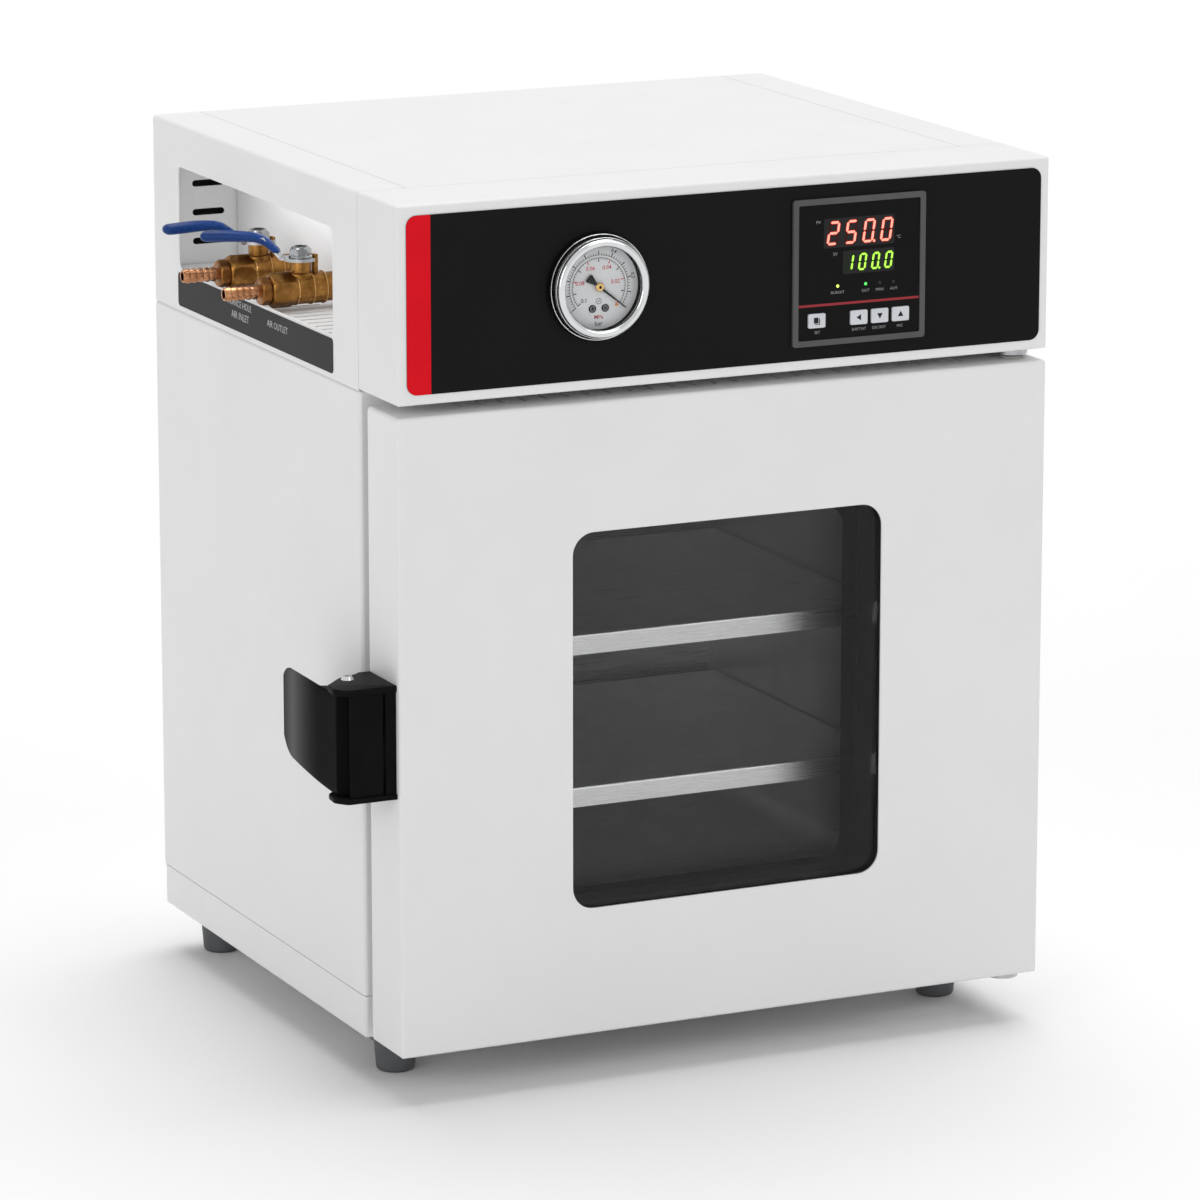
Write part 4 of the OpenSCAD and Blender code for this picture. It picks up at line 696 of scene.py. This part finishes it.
def reading(name, text, x_right, z0, w, h, t, pitch, y, glow_tone, lit_tone, strength):
    """A right-aligned seven-bar reading, with a dim halo behind its lit bars and dark unlit bars."""
    lean, lit, halo, dark = 0.15, [], [], []
    digits = [c for c in text if c != "."]
    point_after = text.index(".") - 1
    for k, c in enumerate(digits):
        x0 = x_right - w - h * lean - (len(digits) - 1 - k) * pitch
        for kind in "abcdefg":
            shape = segment(kind, w, h, t, 0.25 * MM, lean) + [x0, z0]
            if kind in SEGMENTS[c]:
                lit.append(plate(shape, y - LIFT))
                glow = segment(kind, w, h, t, 0.25 * MM, lean, 0.55 * MM) + [x0, z0]
                halo.append(plate(glow, y - LIFT / 2, LIFT / 2))
            else:
                dark.append(plate(shape, y - LIFT * 0.7, LIFT * 0.7))
        if k == point_after:
            point = (x0 + w + 0.9 * MM, z0 + t / 2)
            lit.append(plate(disc(*point, t * 0.55), y - LIFT))
            halo.append(plate(disc(*point, t * 0.9), y - LIFT / 2, LIFT / 2))
    piece(name + "_bars", *joined(lit), printed(name + "_lit", lit_tone, strength), "cabinet", "black_gloss")
    piece(name + "_halo", *joined(halo), printed(name + "_halo", glow_tone, 1.0), "cabinet", "black_gloss")
    unlit = printed(name + "_unlit", [c * 0.25 for c in glow_tone])
    piece(name + "_unlit", *joined(dark), unlit, "cabinet", "black_gloss")


def on_panel(x, z):
    """A place on the controller's face, from its middle, in millimetres."""
    return panel_x + x * MM, panel_z + z * MM


WINDOW_BLACK = satin_film("display_window", (0.001, 0.001, 0.001), 0.12, 0.3)
windows = []
for x0, z0, x1, z1 in ((-25.8, 15.3, 25.4, 34.5), (-11.9, -2.5, 25.4, 12.7)):
    windows.append(plate(rounded(*on_panel(x0, z0), *on_panel(x1, z1), 0.6 * MM), panel_y - LIFT))
piece("display_windows", *joined(windows), WINDOW_BLACK, "cabinet", "black_gloss")
window_y = panel_y - LIFT
reading("process_value", "250.0", on_panel(24.9, 0)[0], on_panel(0, 17.2)[1], 7.9 * MM, 15.4 * MM, 1.55 * MM, 12.9 * MM,
        window_y, (0.16, 0.0, 0.0), (1.0, 0.30, 0.22), 1.0)
reading("set_value", "100.0", on_panel(24.9, 0)[0], on_panel(0, -0.6)[1], 5.3 * MM, 11.0 * MM, 1.15 * MM, 9.5 * MM,
        window_y, (0.02, 0.06, 0.0), (0.42, 1.0, 0.08), 1.0)

PANEL_WORDS = (("PV", -29.7, 32.6, 3.0), ("SV", -17.4, 11.1, 3.0), ("°C", 28.6, 19.4, 3.0),
               ("RUN/AT", -15.5, -14.0, 2.7), ("OUT", 4.8, -14.2, 2.7), ("MAN", 15.1, -14.2, 2.7),
               ("ALM", 25.2, -14.2, 2.7),
               ("SET", -30.1, -39.2, 2.7), ("SHIFT/AT", 0.2, -39.2, 2.6), ("DEC/RST", 15.0, -39.2, 2.6),
               ("INC", 30.1, -39.2, 2.6))  # each with its place on the panel and its size
pale = [words(text, *on_panel(x, z), size * MM, panel_y - LIFT) for text, x, z, size in PANEL_WORDS]
piece("panel_lettering", *joined(pale), INK_PALE, "cabinet", "black_gloss")
red_line = rounded(face_lo[0], on_panel(0, -22.3)[1], face_hi[0], on_panel(0, -20.7)[1], 0.1 * MM, 1)
piece("panel_red_line", *plate(red_line, panel_y - LIFT), printed("dull_red_ink", (0.33, 0.03, 0.04)),
      "cabinet", "black_gloss")

LAMP_FORM = [(0, 0.4), (1.0, 0.4), (1.0, 0.1), (0.92, -0.1), (0.7, -0.28), (0.4, -0.38), (0, -0.42)]
UNLIT_LENS = (0.035, 0.035, 0.035)
for name, x, tone, strength in (("run_lamp", -15.5, (0.75, 1.0, 0.12), 1.1),
                                ("output_lamp", 4.8, (0.10, 0.85, 0.14), 0.9),
                                ("manual_lamp", 15.1, UNLIT_LENS, 0.0), ("alarm_lamp", 25.2, UNLIT_LENS, 0.0)):
    x, z = on_panel(x, -9.9)
    dome = turned(np.array(LAMP_FORM) * MM * [1.05, 0.6], (x, panel_y, z), 32)
    piece(name, *dome, printed(name + "_lens", tone, strength), "cabinet", "black_gloss", 40)


def button_mark(node, shapes):
    """Black marks printed on a button's cap, given in millimetres from its middle; they move with the button."""
    lo, hi = corners(node)
    x, z = (lo[0] + hi[0]) / 2, (lo[2] + hi[2]) / 2
    body = node.removeprefix("button_") + "_button"
    parts = [plate(np.array(s) * MM + [x, z], lo[1] - LIFT) for s in shapes]
    piece(node + "_mark", *joined(parts), INK_BLACK, body, "button_grey")


button_mark("button_set", [[(-2.2, -1.6), (1.0, -1.6), (1.0, 2.2), (-2.2, 2.2)],
                           [(1.5, 1.6), (1.5, -2.1), (-1.6, -2.1), (-1.6, -2.5), (2.1, -2.5), (2.1, 1.6)]])
button_mark("button_left", [[(-1.9, 0), (1.4, -2.0), (1.4, 2.0)]])
button_mark("button_down", [[(0, -2.0), (2.0, 1.6), (-2.0, 1.6)]])
button_mark("button_up", [[(-2.0, -1.6), (2.0, -1.6), (0, 2.0)]])


# ---------------------------------------------------------------- side label

def side_words(text, y, z, size, x_face):
    """Lettering on a face that looks along -X, read from the left: the plane's +X becomes -Y."""
    points, faces = words(text, 0.0, 0.0, size, 0.0)
    return np.column_stack([x_face + points[:, 1], y - points[:, 0], z + points[:, 2]]), faces


label_x = corners("side_label")[0][0]
SIDE_LINES = (("ENTRANCE HOLE", 266.0, 483.4, 6.3), ("AIR INLET", 261.0, 475.4, 7.0), ("AIR OUTLET", 196.0, 479.4, 6.4))
side_print = [side_words(text, *spot(0, y, z)[1:], size * MM, label_x - LIFT) for text, y, z, size in SIDE_LINES]
piece("side_label_lettering", *joined(side_print), printed("label_ink", (0.50, 0.50, 0.50)), "cabinet", "label_film")


# ---------------------------------------------------------------- latch

def filleted(corners_with_radii):
    """A closed outline from (x, y, radius) corners: each corner becomes the arc that touches both its sides."""
    raw = np.array(corners_with_radii, float)
    out = []
    for before, here, after in zip(np.roll(raw, 1, 0), raw, np.roll(raw, -1, 0)):
        u, v = before[:2] - here[:2], after[:2] - here[:2]
        u, v = u / np.linalg.norm(u), v / np.linalg.norm(v)
        half = math.acos(np.clip(u @ v, -1, 1)) / 2
        middle = here[:2] + (u + v) / np.linalg.norm(u + v) * here[2] / math.sin(half)
        start, stop = (here[:2] + w * here[2] / math.tan(half) - middle for w in (u, v))
        a0 = math.atan2(start[1], start[0])
        sweep = (math.atan2(stop[1], stop[0]) - a0 + math.pi) % (2 * math.pi) - math.pi
        a = a0 + sweep * np.linspace(0, 1, 8)
        out.append(middle + here[2] * np.column_stack([np.cos(a), np.sin(a)]))
    return np.vstack(out)


def lofted(loops):
    """A closed surface through a row of loops (rows x points x 3), with a flat face on each end."""
    rows, count = loops.shape[:2]
    faces = grid_faces(rows, count).tolist() + [list(range(count)), list(range((rows - 1) * count, rows * count))]
    return welded(loops.reshape(-1, 3), faces)


def slab(outline, bottom, top, edge):
    """An outline in X and Y stood up from bottom to top, with quarter-round edges.

    At depth d into an edge of radius e, the outline shrinks by e - sqrt(e^2 - (e - d)^2) along its inward normal.
    """
    flow = np.roll(outline, -1, 0) - np.roll(outline, 1, 0)
    area = np.sum(outline[:, 0] * np.roll(outline[:, 1], -1) - np.roll(outline[:, 0], -1) * outline[:, 1])
    inward = np.column_stack([-flow[:, 1], flow[:, 0]]) / np.linalg.norm(flow, axis=1)[:, None] * np.sign(area)
    a = np.radians(np.linspace(0, 90, 5))
    inset = edge * np.concatenate([1 - np.sin(a), (1 - np.sin(a))[::-1]])
    height = np.concatenate([bottom + edge * (1 - np.cos(a)), (top - edge * (1 - np.cos(a)))[::-1]])
    flat = outline[None] + inset[:, None, None] * inward[None]
    return lofted(np.concatenate([flat, np.broadcast_to(height[:, None, None], (*flat.shape[:2], 1))], -1))


def placed(part):
    """A part drawn in millimetres from the case's left side, the door's face and the floor, put in its place."""
    points, faces = part
    return np.asarray(points) * MM + spot(0, 0, 0), faces


LATCH_LOW, LATCH_HIGH = 206.0, 281.0
PIVOT = np.array([-22.0, 32.0])  # of the paddle, in plan
plate_plan = filleted([(0, 3.2, 0.6), (-34, 3.2, 5), (-40.5, 11.5, 6), (-39.5, 23.5, 6), (-26, 37.5, 14),
                       (-9, 45.0, 16), (0, 46.5, 0.8)])
base_plan = filleted([(0, 4.5, 0.8), (-7.4, 4.5, 0.6), (-7.4, 16, 0.3), (-9, 16, 0.3), (-9, 47.6, 0.8),
                      (0, 47.6, 0.8)])
skirt_plan = filleted([(-8.9, 5.0, 0.5), (-31.6, 5.0, 1.1), (-31.6, 7.4, 0.5), (-8.9, 7.4, 0.3)])
latch_parts = [slab(plate_plan, LATCH_HIGH - 4.4, LATCH_HIGH, 0.8), slab(plate_plan, LATCH_LOW, LATCH_LOW + 3.6, 0.8),
               slab(base_plan, LATCH_LOW + 0.3, LATCH_HIGH - 0.3, 0.7),
               slab(skirt_plan, LATCH_LOW + 3.2, LATCH_HIGH - 4.0, 0.3)]
bracket = piece("latch_bracket", *placed(joined(latch_parts)), FINISHES["black_plastic"], "door", "black_plastic", 40)
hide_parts("latch_base")


def paddle_skin(low, high, thick, tip, small, large):
    """The paddle: a skin of even thickness that follows a path in plan, from a lip round the pivot to a flared tip.

    The path is an arc of radius 24.2 about the pivot from 254 to 231 degrees, and then x = -37.5 - 4.6 t^1.3, where t
    runs from 0 to 1 along Y. The lower edge climbs by 12.5 t^1.7, and past Y 45 the upper one by 2.8, with a small
    round above and a large one below at the tip. A section's edges are half an ellipse of the skin's thickness.
    """
    a = np.radians(np.linspace(254, 231, 9))
    lip = PIVOT + 24.2 * np.column_stack([np.cos(a), np.sin(a)])
    t = 1 - (1 - np.linspace(0, 1, 60)) ** 1.6
    y = lip[-1, 1] + 1.0 + (tip - lip[-1, 1] - 1.0) * t
    share = (y - y[0]) / (tip - y[0])
    path = np.vstack([lip, np.column_stack([-37.5 - 4.6 * share ** 1.3, y])])
    along = np.gradient(path, axis=0)
    along /= np.linalg.norm(along, axis=1)[:, None]
    outward = np.column_stack([-along[:, 1], along[:, 0]])
    left = np.clip(tip - path[:, 1], 0, None)
    round_off = lambda r: r - np.sqrt(np.clip(r * r - np.clip(r - left, 0, None) ** 2, 0, None))
    rise = np.clip((path[:, 1] - path[8, 1]) / (tip - path[8, 1]), 0, 1)
    flare = np.clip((path[:, 1] - 45) / (tip - 45), 0, 1)
    bottom, top = low + 12.5 * rise ** 1.7 + round_off(large), high + 2.8 * flare - round_off(small)
    width = thick * np.sqrt(np.clip(1 - np.clip(1 - left / (thick * 0.6), 0, 1) ** 2, 0.0004, 1))
    b = np.linspace(0, 2 * np.pi, 40, endpoint=False)
    flat = np.sign(np.sin(b)) * np.abs(np.sin(b)) ** 0.25
    side = np.sign(np.cos(b)) * np.abs(np.cos(b)) ** 0.5
    across = (side[None] - 1) / 2 * width[:, None]
    z = (bottom + top)[:, None] / 2 + flat[None] * np.maximum((top - bottom)[:, None] / 2, 0.02)
    plan = path[:, None] + across[..., None] * outward[:, None]
    return lofted(np.concatenate([plan, z[..., None]], -1))


def paddle_with_painted_sheen(name, tone):
    """Semi-gloss black plastic with a painted sheen: the colour greys where the paddle flares and fades again towards
    the tip.
    """
    f = Finish(name, rough=0.40, specular=0.012)
    fine = f.clouds(0.5 * MM, detail=2)
    along = f.node("ShaderNodeSeparateXYZ")
    f.feed(f.place(1.0), along.inputs[0])
    flare = f.spread(along.outputs["Y"], 0, 1, spot(0, 36, 0)[1], spot(0, 77, 0)[1])
    end = f.spread(along.outputs["Y"], 1, 0.4, spot(0, 79, 0)[1], spot(0, 90, 0)[1])
    # Painted sheen: the base colour lightens along the flare in place of the mirrored light of the floor.
    f.colour(f.blend(f.math("MULTIPLY", f.math("POWER", flare, 2.3), end), tone, [c + 0.112 for c in tone]))
    f.roughness(f.spread(fine, 0.37, 0.43))
    f.relief(fine, 0.01 * MM, 0.4)
    return f.material


hub = slab(disc(*PIVOT, 7.5, 48), 211.0, 276.0, 0.5)
web = slab(filleted([(-22, 26.5, 0.3), (-22, 37.5, 0.3), (-36.4, 44, 0.5), (-35.2, 21, 0.5)]), 211.2, 275.8, 0.3)
cam = slab(filleted([(-36.0, 52.5, 0.5), (-12.3, 64, 2), (-12.3, 74, 2), (-37.6, 79, 0.5)]), 235.5, 251.5, 0.5)
skin = paddle_skin(low=210.0, high=276.2, thick=3.6, tip=90.5, small=6, large=11)
paddle = piece("latch_paddle", *placed(joined([skin, hub, web, cam])),
               paddle_with_painted_sheen("black_paddle_painted_sheen", (0.0045, 0.0045, 0.0045)), "latch_handle", "black_plastic", 40)
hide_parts("latch_lever")

screw_lo, screw_hi = corners("latch_screw")
screw_mid = (screw_lo + screw_hi)[:2] / 2 / MM
# Painted shade: a black cross over the screw's slots.
arm = np.array([(-2.2, -0.35), (2.2, -0.35), (2.2, 0.35), (-2.2, 0.35)])
cross = [slab(screw_mid + flat, 0, 0.06, 0.01) for flat in (arm, arm[:, ::-1] * [-1, 1])]
cross = [(points * MM + [0, 0, screw_hi[2] - 0.01 * MM], faces) for points, faces in cross]
piece("latch_screw_cross", *joined(cross), SHADOW_BLACK, "door", "black_plastic")


# ---------------------------------------------------------------- valves

AXIS_Z, STEM_X = 498.0, 29.0
VALVES = {"inlet": (226.0, 37.0), "vacuum": (300.0, 0.0)}  # each stem's Y, and its lever's rest from -X in degrees
BOSS_TOP, STRIP = 18.9, 2.0  # the stem boss's top above the axis, and the lever's thickness


def along_x(stations, flats=None, steps=96):
    """A closed form about the X axis from (x, radius) stations, where flats cut it to a hexagon of that width.

    The radius at angle a is the smaller of the station's and flats / 2 / cos(a's distance from the nearest flat).
    """
    x, cap = np.array(stations, float).T
    a = np.linspace(0, 2 * np.pi, steps, endpoint=False)
    r = np.repeat(np.maximum(cap, 1e-3)[:, None], steps, 1)
    if flats:
        r = np.minimum(r, flats / 2 / np.cos((a + np.pi / 6) % (np.pi / 3) - np.pi / 6))
    return lofted(np.stack([np.repeat(x[:, None], steps, 1), r * np.cos(a), r * np.sin(a)], -1))


def upright(part):
    """A form about X stood up, so that its X points along Z."""
    points, faces = part
    return np.column_stack([points[:, 1], points[:, 2], points[:, 0]]), faces


def on_valve(part, name, lever=False):
    """A part drawn about a valve's middle, in millimetres, put in its place and turned with the lever if asked."""
    points, faces = part
    y, rest = VALVES[name]
    a = math.radians(-rest if lever else 0)
    turn = np.array([[math.cos(a), -math.sin(a), 0], [math.sin(a), math.cos(a), 0], [0, 0, 1]])
    return (np.asarray(points) @ turn.T + [STEM_X, y, AXIS_Z]) * MM + spot(0, 0, 0), faces


RIB, RIBS_X = 0.9, (-5.0, 6.0, 15.0)  # a rib's half width, and the ribs' places along a valve


def on_both(parts):
    """The same parts on both valves, as one."""
    return joined([on_valve(part, name) for name in VALVES for part in parts])


def bead(x, r):
    """A half-round rib's stations at x on a cylinder of radius r: (x + RIB cos a, r + 0.62 RIB sin a)."""
    a = np.linspace(np.pi, 0, 9)
    return np.column_stack([x + RIB * np.cos(a), r + 0.62 * RIB * np.sin(a)])


def forged_body():
    """The turned body with three ribs and the run to the wall, the stem's boss, the stop lug and the hexagon end."""
    return [
        along_x([(-6.2, 0), (-6.2, 10.4), *np.vstack([bead(x, 10.4) for x in RIBS_X]), (16.4, 10.2), (16.8, 9.7),
                 (30.4, 9.7), (30.4, 0)]),
        slab(disc(0, 0, 6.8, 48), 4.0, BOSS_TOP, 0.5), slab(disc(0, 0, 8.3, 48), 6.0, 11.2, 1.8),
        slab(filleted([(8.4, -2.5, 0.7), (11.5, -2.5, 0.7), (11.5, 2.5, 0.7), (8.4, 2.5, 0.7)]), 6.0, 22.4, 0.6),
        along_x([(-23, 0), (-23, 9.9), (-22.3, 10.6), (-20.6, 11.9), (-8.4, 11.9), (-7.0, 11.0), (-6.1, 10.6),
                 (-6.1, 0)], 21.0),
    ]


def ridged_tube():
    """A hose barb: five teeth, each a cone that rises to a sharp step, and a bored end."""
    teeth = [(-55.0, 3.1), (-55.0, 3.75), (-54.6, 4.05)]
    for k in range(5):
        x = -54.6 + 4.6 * k
        teeth += [(x + 3.6, 5.0), (x + 4.0, 4.95), (x + 4.15, 3.9)]
    return along_x([(-44, 0), (-44, 3.0), (-54.9, 3.0)] + teeth + [(-29.5, 3.9), (-29.5, 0)], None, 72)


def dipped_grip():
    """A vinyl sleeve on the lever: an oval section carried along a path that climbs from the nut and runs level.

    Path, half height and half width are read from a few stations by smooth interpolation; the ends close as an ellipse.
    """
    s = 15.2 + 53.0 * (1 - np.cos(np.linspace(0, np.pi, 90))) / 2
    reach = [15, 19, 23, 27, 33, 42, 52, 61, 68.3]
    ease = lambda values: np.convolve(np.pad(np.interp(s, reach, values), 6, "edge"), np.ones(13) / 13, "valid")
    z = BOSS_TOP + STRIP / 2 + ease([3.2, 6.6, 10.2, 12.3, 13.2, 13.4, 13.1, 12.7, 12.4])
    high = ease([2.1, 2.3, 2.5, 2.8, 3.2, 3.6, 3.8, 3.7, 3.5])
    wide = ease([4.9, 5.0, 5.1, 5.2, 5.3, 5.5, 5.5, 5.5, 5.4])
    close = np.sqrt(np.clip(1 - np.clip(1 - (s[-1] - s) / 4.4, 0, 1) ** 2, 1e-4, 1))
    close *= np.sqrt(np.clip(1 - np.clip(1 - (s - s[0]) / 1.0, 0, 1) ** 2, 0.5, 1))
    a = np.linspace(0, 2 * np.pi, 48, endpoint=False)
    oval = lambda c: np.sign(c) * np.abs(c) ** 0.86
    rise = np.gradient(z, s)
    tilt = 1 / np.sqrt(1 + rise ** 2)
    up = (high * close)[:, None] * oval(np.sin(a))[None]
    across = (wide * close)[:, None] * oval(np.cos(a))[None]
    return lofted(np.stack([up * (rise * tilt)[:, None] - s[:, None], across, z[:, None] + up * tilt[:, None]], -1))


def flange_nut():
    """A nut with a round flange, a chamfered hexagon and a locking collar whose top is hollow."""
    base = BOSS_TOP + STRIP
    turned_part = [(0.02, 0), (0.02, 7.6), (0.35, 7.85), (1.0, 7.8), (1.5, 7.1), (1.9, 6.9), (1.9, 0)]
    collar = [(5.2, 0), (5.2, 6.2), (6.5, 6.05), (7.1, 5.75), (7.45, 5.2), (7.45, 4.7), (7.1, 4.45), (6.15, 4.4),
              (6.15, 0)]
    hexagon = [(1.4, 0), (1.4, 7.5), (5.0, 7.5), (5.7, 6.9), (6.0, 6.5), (6.0, 0)]
    parts = [upright(along_x(turned_part)), upright(along_x(hexagon, 13.0)), upright(along_x(collar))]
    return joined([(points + [0, 0, base], faces) for points, faces in parts])


# Painted highlight: a bright brass for the lines on the ribs' crests.
BRIGHT_BRASS = forged_brass("painted_highlight_brass", (0.55, 0.30, 0.08), (0.90, 0.58, 0.24), 0.22)
DARK_BRASS = forged_brass("shadowed_brass", (0.14, 0.055, 0.014), (0.36, 0.16, 0.045), 0.36)
NUT_STEEL = bright_plate("zinc_nut", (0.40, 0.41, 0.42), 0.10)
bodies = piece("forged_valves", *on_both(forged_body()), FINISHES["brass"], "cabinet", "brass", 35)
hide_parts("valve_bodies")
barbs = piece("ridged_barbs", *on_both([ridged_tube()]), FINISHES["copper_brass"], "cabinet", "copper_brass", 30)
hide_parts("hose_barbs")
hexagon = along_x([(-30, 0), (-30, 7.9), (-29.2, 9.0), (-28.6, 9.4), (-24.2, 9.4), (-23.1, 8.6), (-23.1, 0)], 17.0)
piece("barb_hexagons", *on_both([hexagon]), DARK_BRASS, "cabinet", "brass", 30)
# Painted highlight: thin bright brass rings on the crests of the valve ribs.
highlight_line = [(-0.3, 10.85), (-0.2, 11.02), (0.2, 11.02), (0.3, 10.85), (-0.3, 10.85)]
lines = [along_x(np.array(highlight_line) + [x, 0]) for x in RIBS_X]
piece("rib_highlights", *on_both(lines), BRIGHT_BRASS, "cabinet", "brass", 40)
# Painted shade: a black disc deep in each barb's bore.
bore_shade = along_x([(-50, 0), (-50, 2.95), (-49.6, 2.95), (-49.6, 0)])
piece("barb_bores", *on_both([bore_shade]), SHADOW_BLACK, "cabinet", "black_plastic")
# Painted shade: a thin black disc in each nut, where its top is hollow.
hollow = upright(along_x([(27.1, 0), (27.1, 4.35), (27.25, 4.35), (27.25, 0)]))
for name in VALVES:
    lever = name + "_handle"
    grip = piece(name + "_vinyl_grip", *on_valve(dipped_grip(), name, True), FINISHES["blue_vinyl"], lever,
                 "blue_vinyl", 50)
    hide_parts(name + "_grip")
    nut = piece(name + "_flange_nut", *on_valve(flange_nut(), name, True), NUT_STEEL, lever, "zinc_steel", 30)
    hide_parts(name + "_nut")
    piece(name + "_nut_hollow", *on_valve(hollow, name, True), SHADOW_BLACK, lever, "black_plastic")


# ---------------------------------------------------------------- door glass

def frame_plate(outer, inner, y_front, thick):
    """A flat frame facing -Y between two outlines with as many points each."""
    n = len(outer)
    loops = [np.column_stack([flat[:, 0], np.full(n, y), flat[:, 1]])
             for y in (y_front, y_front + thick) for flat in (outer, inner)]
    i = np.arange(n)
    j = (i + 1) % n
    sides = ((0, n), (2 * n, 3 * n), (0, 2 * n), (n, 3 * n))  # front, back, outer edge and inner edge
    faces = np.vstack([np.column_stack([a + i, a + j, b + j, b + i]) for a, b in sides])
    return welded(np.vstack(loops), faces.tolist(), 1e-7)


WINDOW_CORNER = 15 * MM
# A smoked frame over the window's edge, wider at the right, that darkens what lies behind it.
border_y = corners("inner_glass")[0][1] - 0.2 * MM
border_out = rounded(*spot(121.55, 0, 118.55)[[0, 2]], *spot(344.45, 0, 368.45)[[0, 2]], WINDOW_CORNER, 8)
border_in = rounded(*spot(130, 0, 123.8)[[0, 2]], *spot(332.8, 0, 362.5)[[0, 2]], WINDOW_CORNER - 1 * MM, 8)
piece("glass_smoked_border", *frame_plate(border_out, border_in, border_y, 0.1 * MM),
      pane("smoked_border", (0.60, 0.60, 0.60), 0.1), "door", "tinted_glass")


# ---------------------------------------------------------------- painted shade in the vent slots

HALF_LONG, HALF_HIGH, SLOT_PITCH = 11.6 * MM, 2.2 * MM, 20
slot_shade_plates = []
# Painted shade: black plates in the three slots of the recess's back wall.
for row in range(3):
    x, y, z = spot(39.2, 416.2, 499.7 + SLOT_PITCH * row)
    outline = rounded(x - HALF_LONG, z - HALF_HIGH, x + HALF_LONG, z + HALF_HIGH, 2.1 * MM)
    slot_shade_plates.append(plate(outline, y, 0.4 * MM))
piece("vent_slot_shades", *joined(slot_shade_plates), SHADOW_BLACK, "cabinet", "black_plastic")


# ---------------------------------------------------------------- studio

def floor():
    """A wide white floor that keeps the oven's shadow."""
    half = 20.0  # metres
    mesh = bpy.data.meshes.new("studio_floor")
    mesh.from_pydata([(-half, -half, 0), (half, -half, 0), (half, half, 0), (-half, half, 0)], [], [(0, 1, 2, 3)])
    obj = bpy.data.objects.new("studio_floor", mesh)
    bpy.context.scene.collection.objects.link(obj)
    f = Finish("white_floor", rough=0.9, specular=0.0)
    f.colour(f.blend(f.spread(f.clouds(0.5), 0, 1), (0.915, 0.915, 0.915), (0.92, 0.92, 0.92)))
    mesh.materials.append(f.material)


def camera(place, yaw, pitch, lens):
    """A camera at place that looks yaw degrees right of +Y and pitch degrees down."""
    y, p = math.radians(yaw), math.radians(pitch)
    ahead = Vector((math.sin(y) * math.cos(p), math.cos(y) * math.cos(p), -math.sin(p)))
    right = Vector((math.cos(y), -math.sin(y), 0))
    up = right.cross(ahead)
    data = bpy.data.cameras.new("camera")
    data.lens, data.sensor_width, data.sensor_fit = lens, 36.0, "HORIZONTAL"
    data.clip_end = 100
    obj = bpy.data.objects.new("camera", data)
    obj.matrix_world = Matrix.Translation(place) @ Matrix((right, up, -ahead)).transposed().to_4x4()
    bpy.context.scene.collection.objects.link(obj)
    bpy.context.scene.camera = obj


def soft_sun(name, strength, azimuth, height, spread):
    """A wide soft lamp from the azimuth, in degrees left of the door's front, and the height above the floor."""
    data = bpy.data.lights.new(name, "SUN")
    data.energy, data.angle = strength, math.radians(spread)
    obj = bpy.data.objects.new(name, data)
    a, e = math.radians(azimuth), math.radians(height)
    towards = Vector((-math.sin(a) * math.cos(e), -math.cos(a) * math.cos(e), math.sin(e)))
    obj.rotation_euler = towards.to_track_quat("Z", "Y").to_euler()
    bpy.context.scene.collection.objects.link(obj)


def recess_strip(name, power):
    """A hidden strip lamp under the roof of the valves' recess."""
    data = bpy.data.lights.new(name, "AREA")
    data.shape, data.size, data.size_y, data.energy = "RECTANGLE", 30 * MM, 240 * MM, power
    obj = bpy.data.objects.new(name, data)
    obj.location = spot(22, 238, 572)
    obj.rotation_euler = (0, math.radians(-12), 0)
    obj.visible_camera = obj.visible_glossy = False
    bpy.context.scene.collection.objects.link(obj)


def surroundings(level):
    """An even pale room at the level for light on the object, and white where it is seen or mirrored."""
    world = bpy.data.worlds.new("studio")
    world.use_nodes = True
    bpy.context.scene.world = world
    tree = world.node_tree
    tree.nodes["Background"].inputs["Color"].default_value = (1, 1, 1, 1)
    tree.nodes["Background"].inputs["Strength"].default_value = level
    seen = tree.nodes.new("ShaderNodeBackground")
    seen.inputs["Strength"].default_value = 1.0
    ray = tree.nodes.new("ShaderNodeLightPath")
    mix = tree.nodes.new("ShaderNodeMixShader")
    seen_ray = ray.outputs["Is Camera Ray"]
    for kind in ("Is Glossy Ray", "Is Transmission Ray"):
        either = tree.nodes.new("ShaderNodeMath")
        either.operation = "MAXIMUM"
        tree.links.new(seen_ray, either.inputs[0])
        tree.links.new(ray.outputs[kind], either.inputs[1])
        seen_ray = either.outputs[0]
    tree.links.new(seen_ray, mix.inputs[0])
    tree.links.new(tree.nodes["Background"].outputs[0], mix.inputs[1])
    tree.links.new(seen.outputs[0], mix.inputs[2])
    tree.links.new(mix.outputs[0], tree.nodes["World Output"].inputs["Surface"])


floor()
surroundings(0.46)
soft_sun("overhead_softbox", 1.78, -140, 74, 58)
soft_sun("front_right_fill", 0.33, -30, 28, 35)
soft_sun("front_left_fill", 0.55, 60, 15, 35)
recess_strip("recess_lamp", 0.085)
camera(place=(-1.710564, -3.693446, 1.224296), yaw=25.191, pitch=13.154, lens=185.121)
bpy.context.scene.view_settings.view_transform = "Standard"
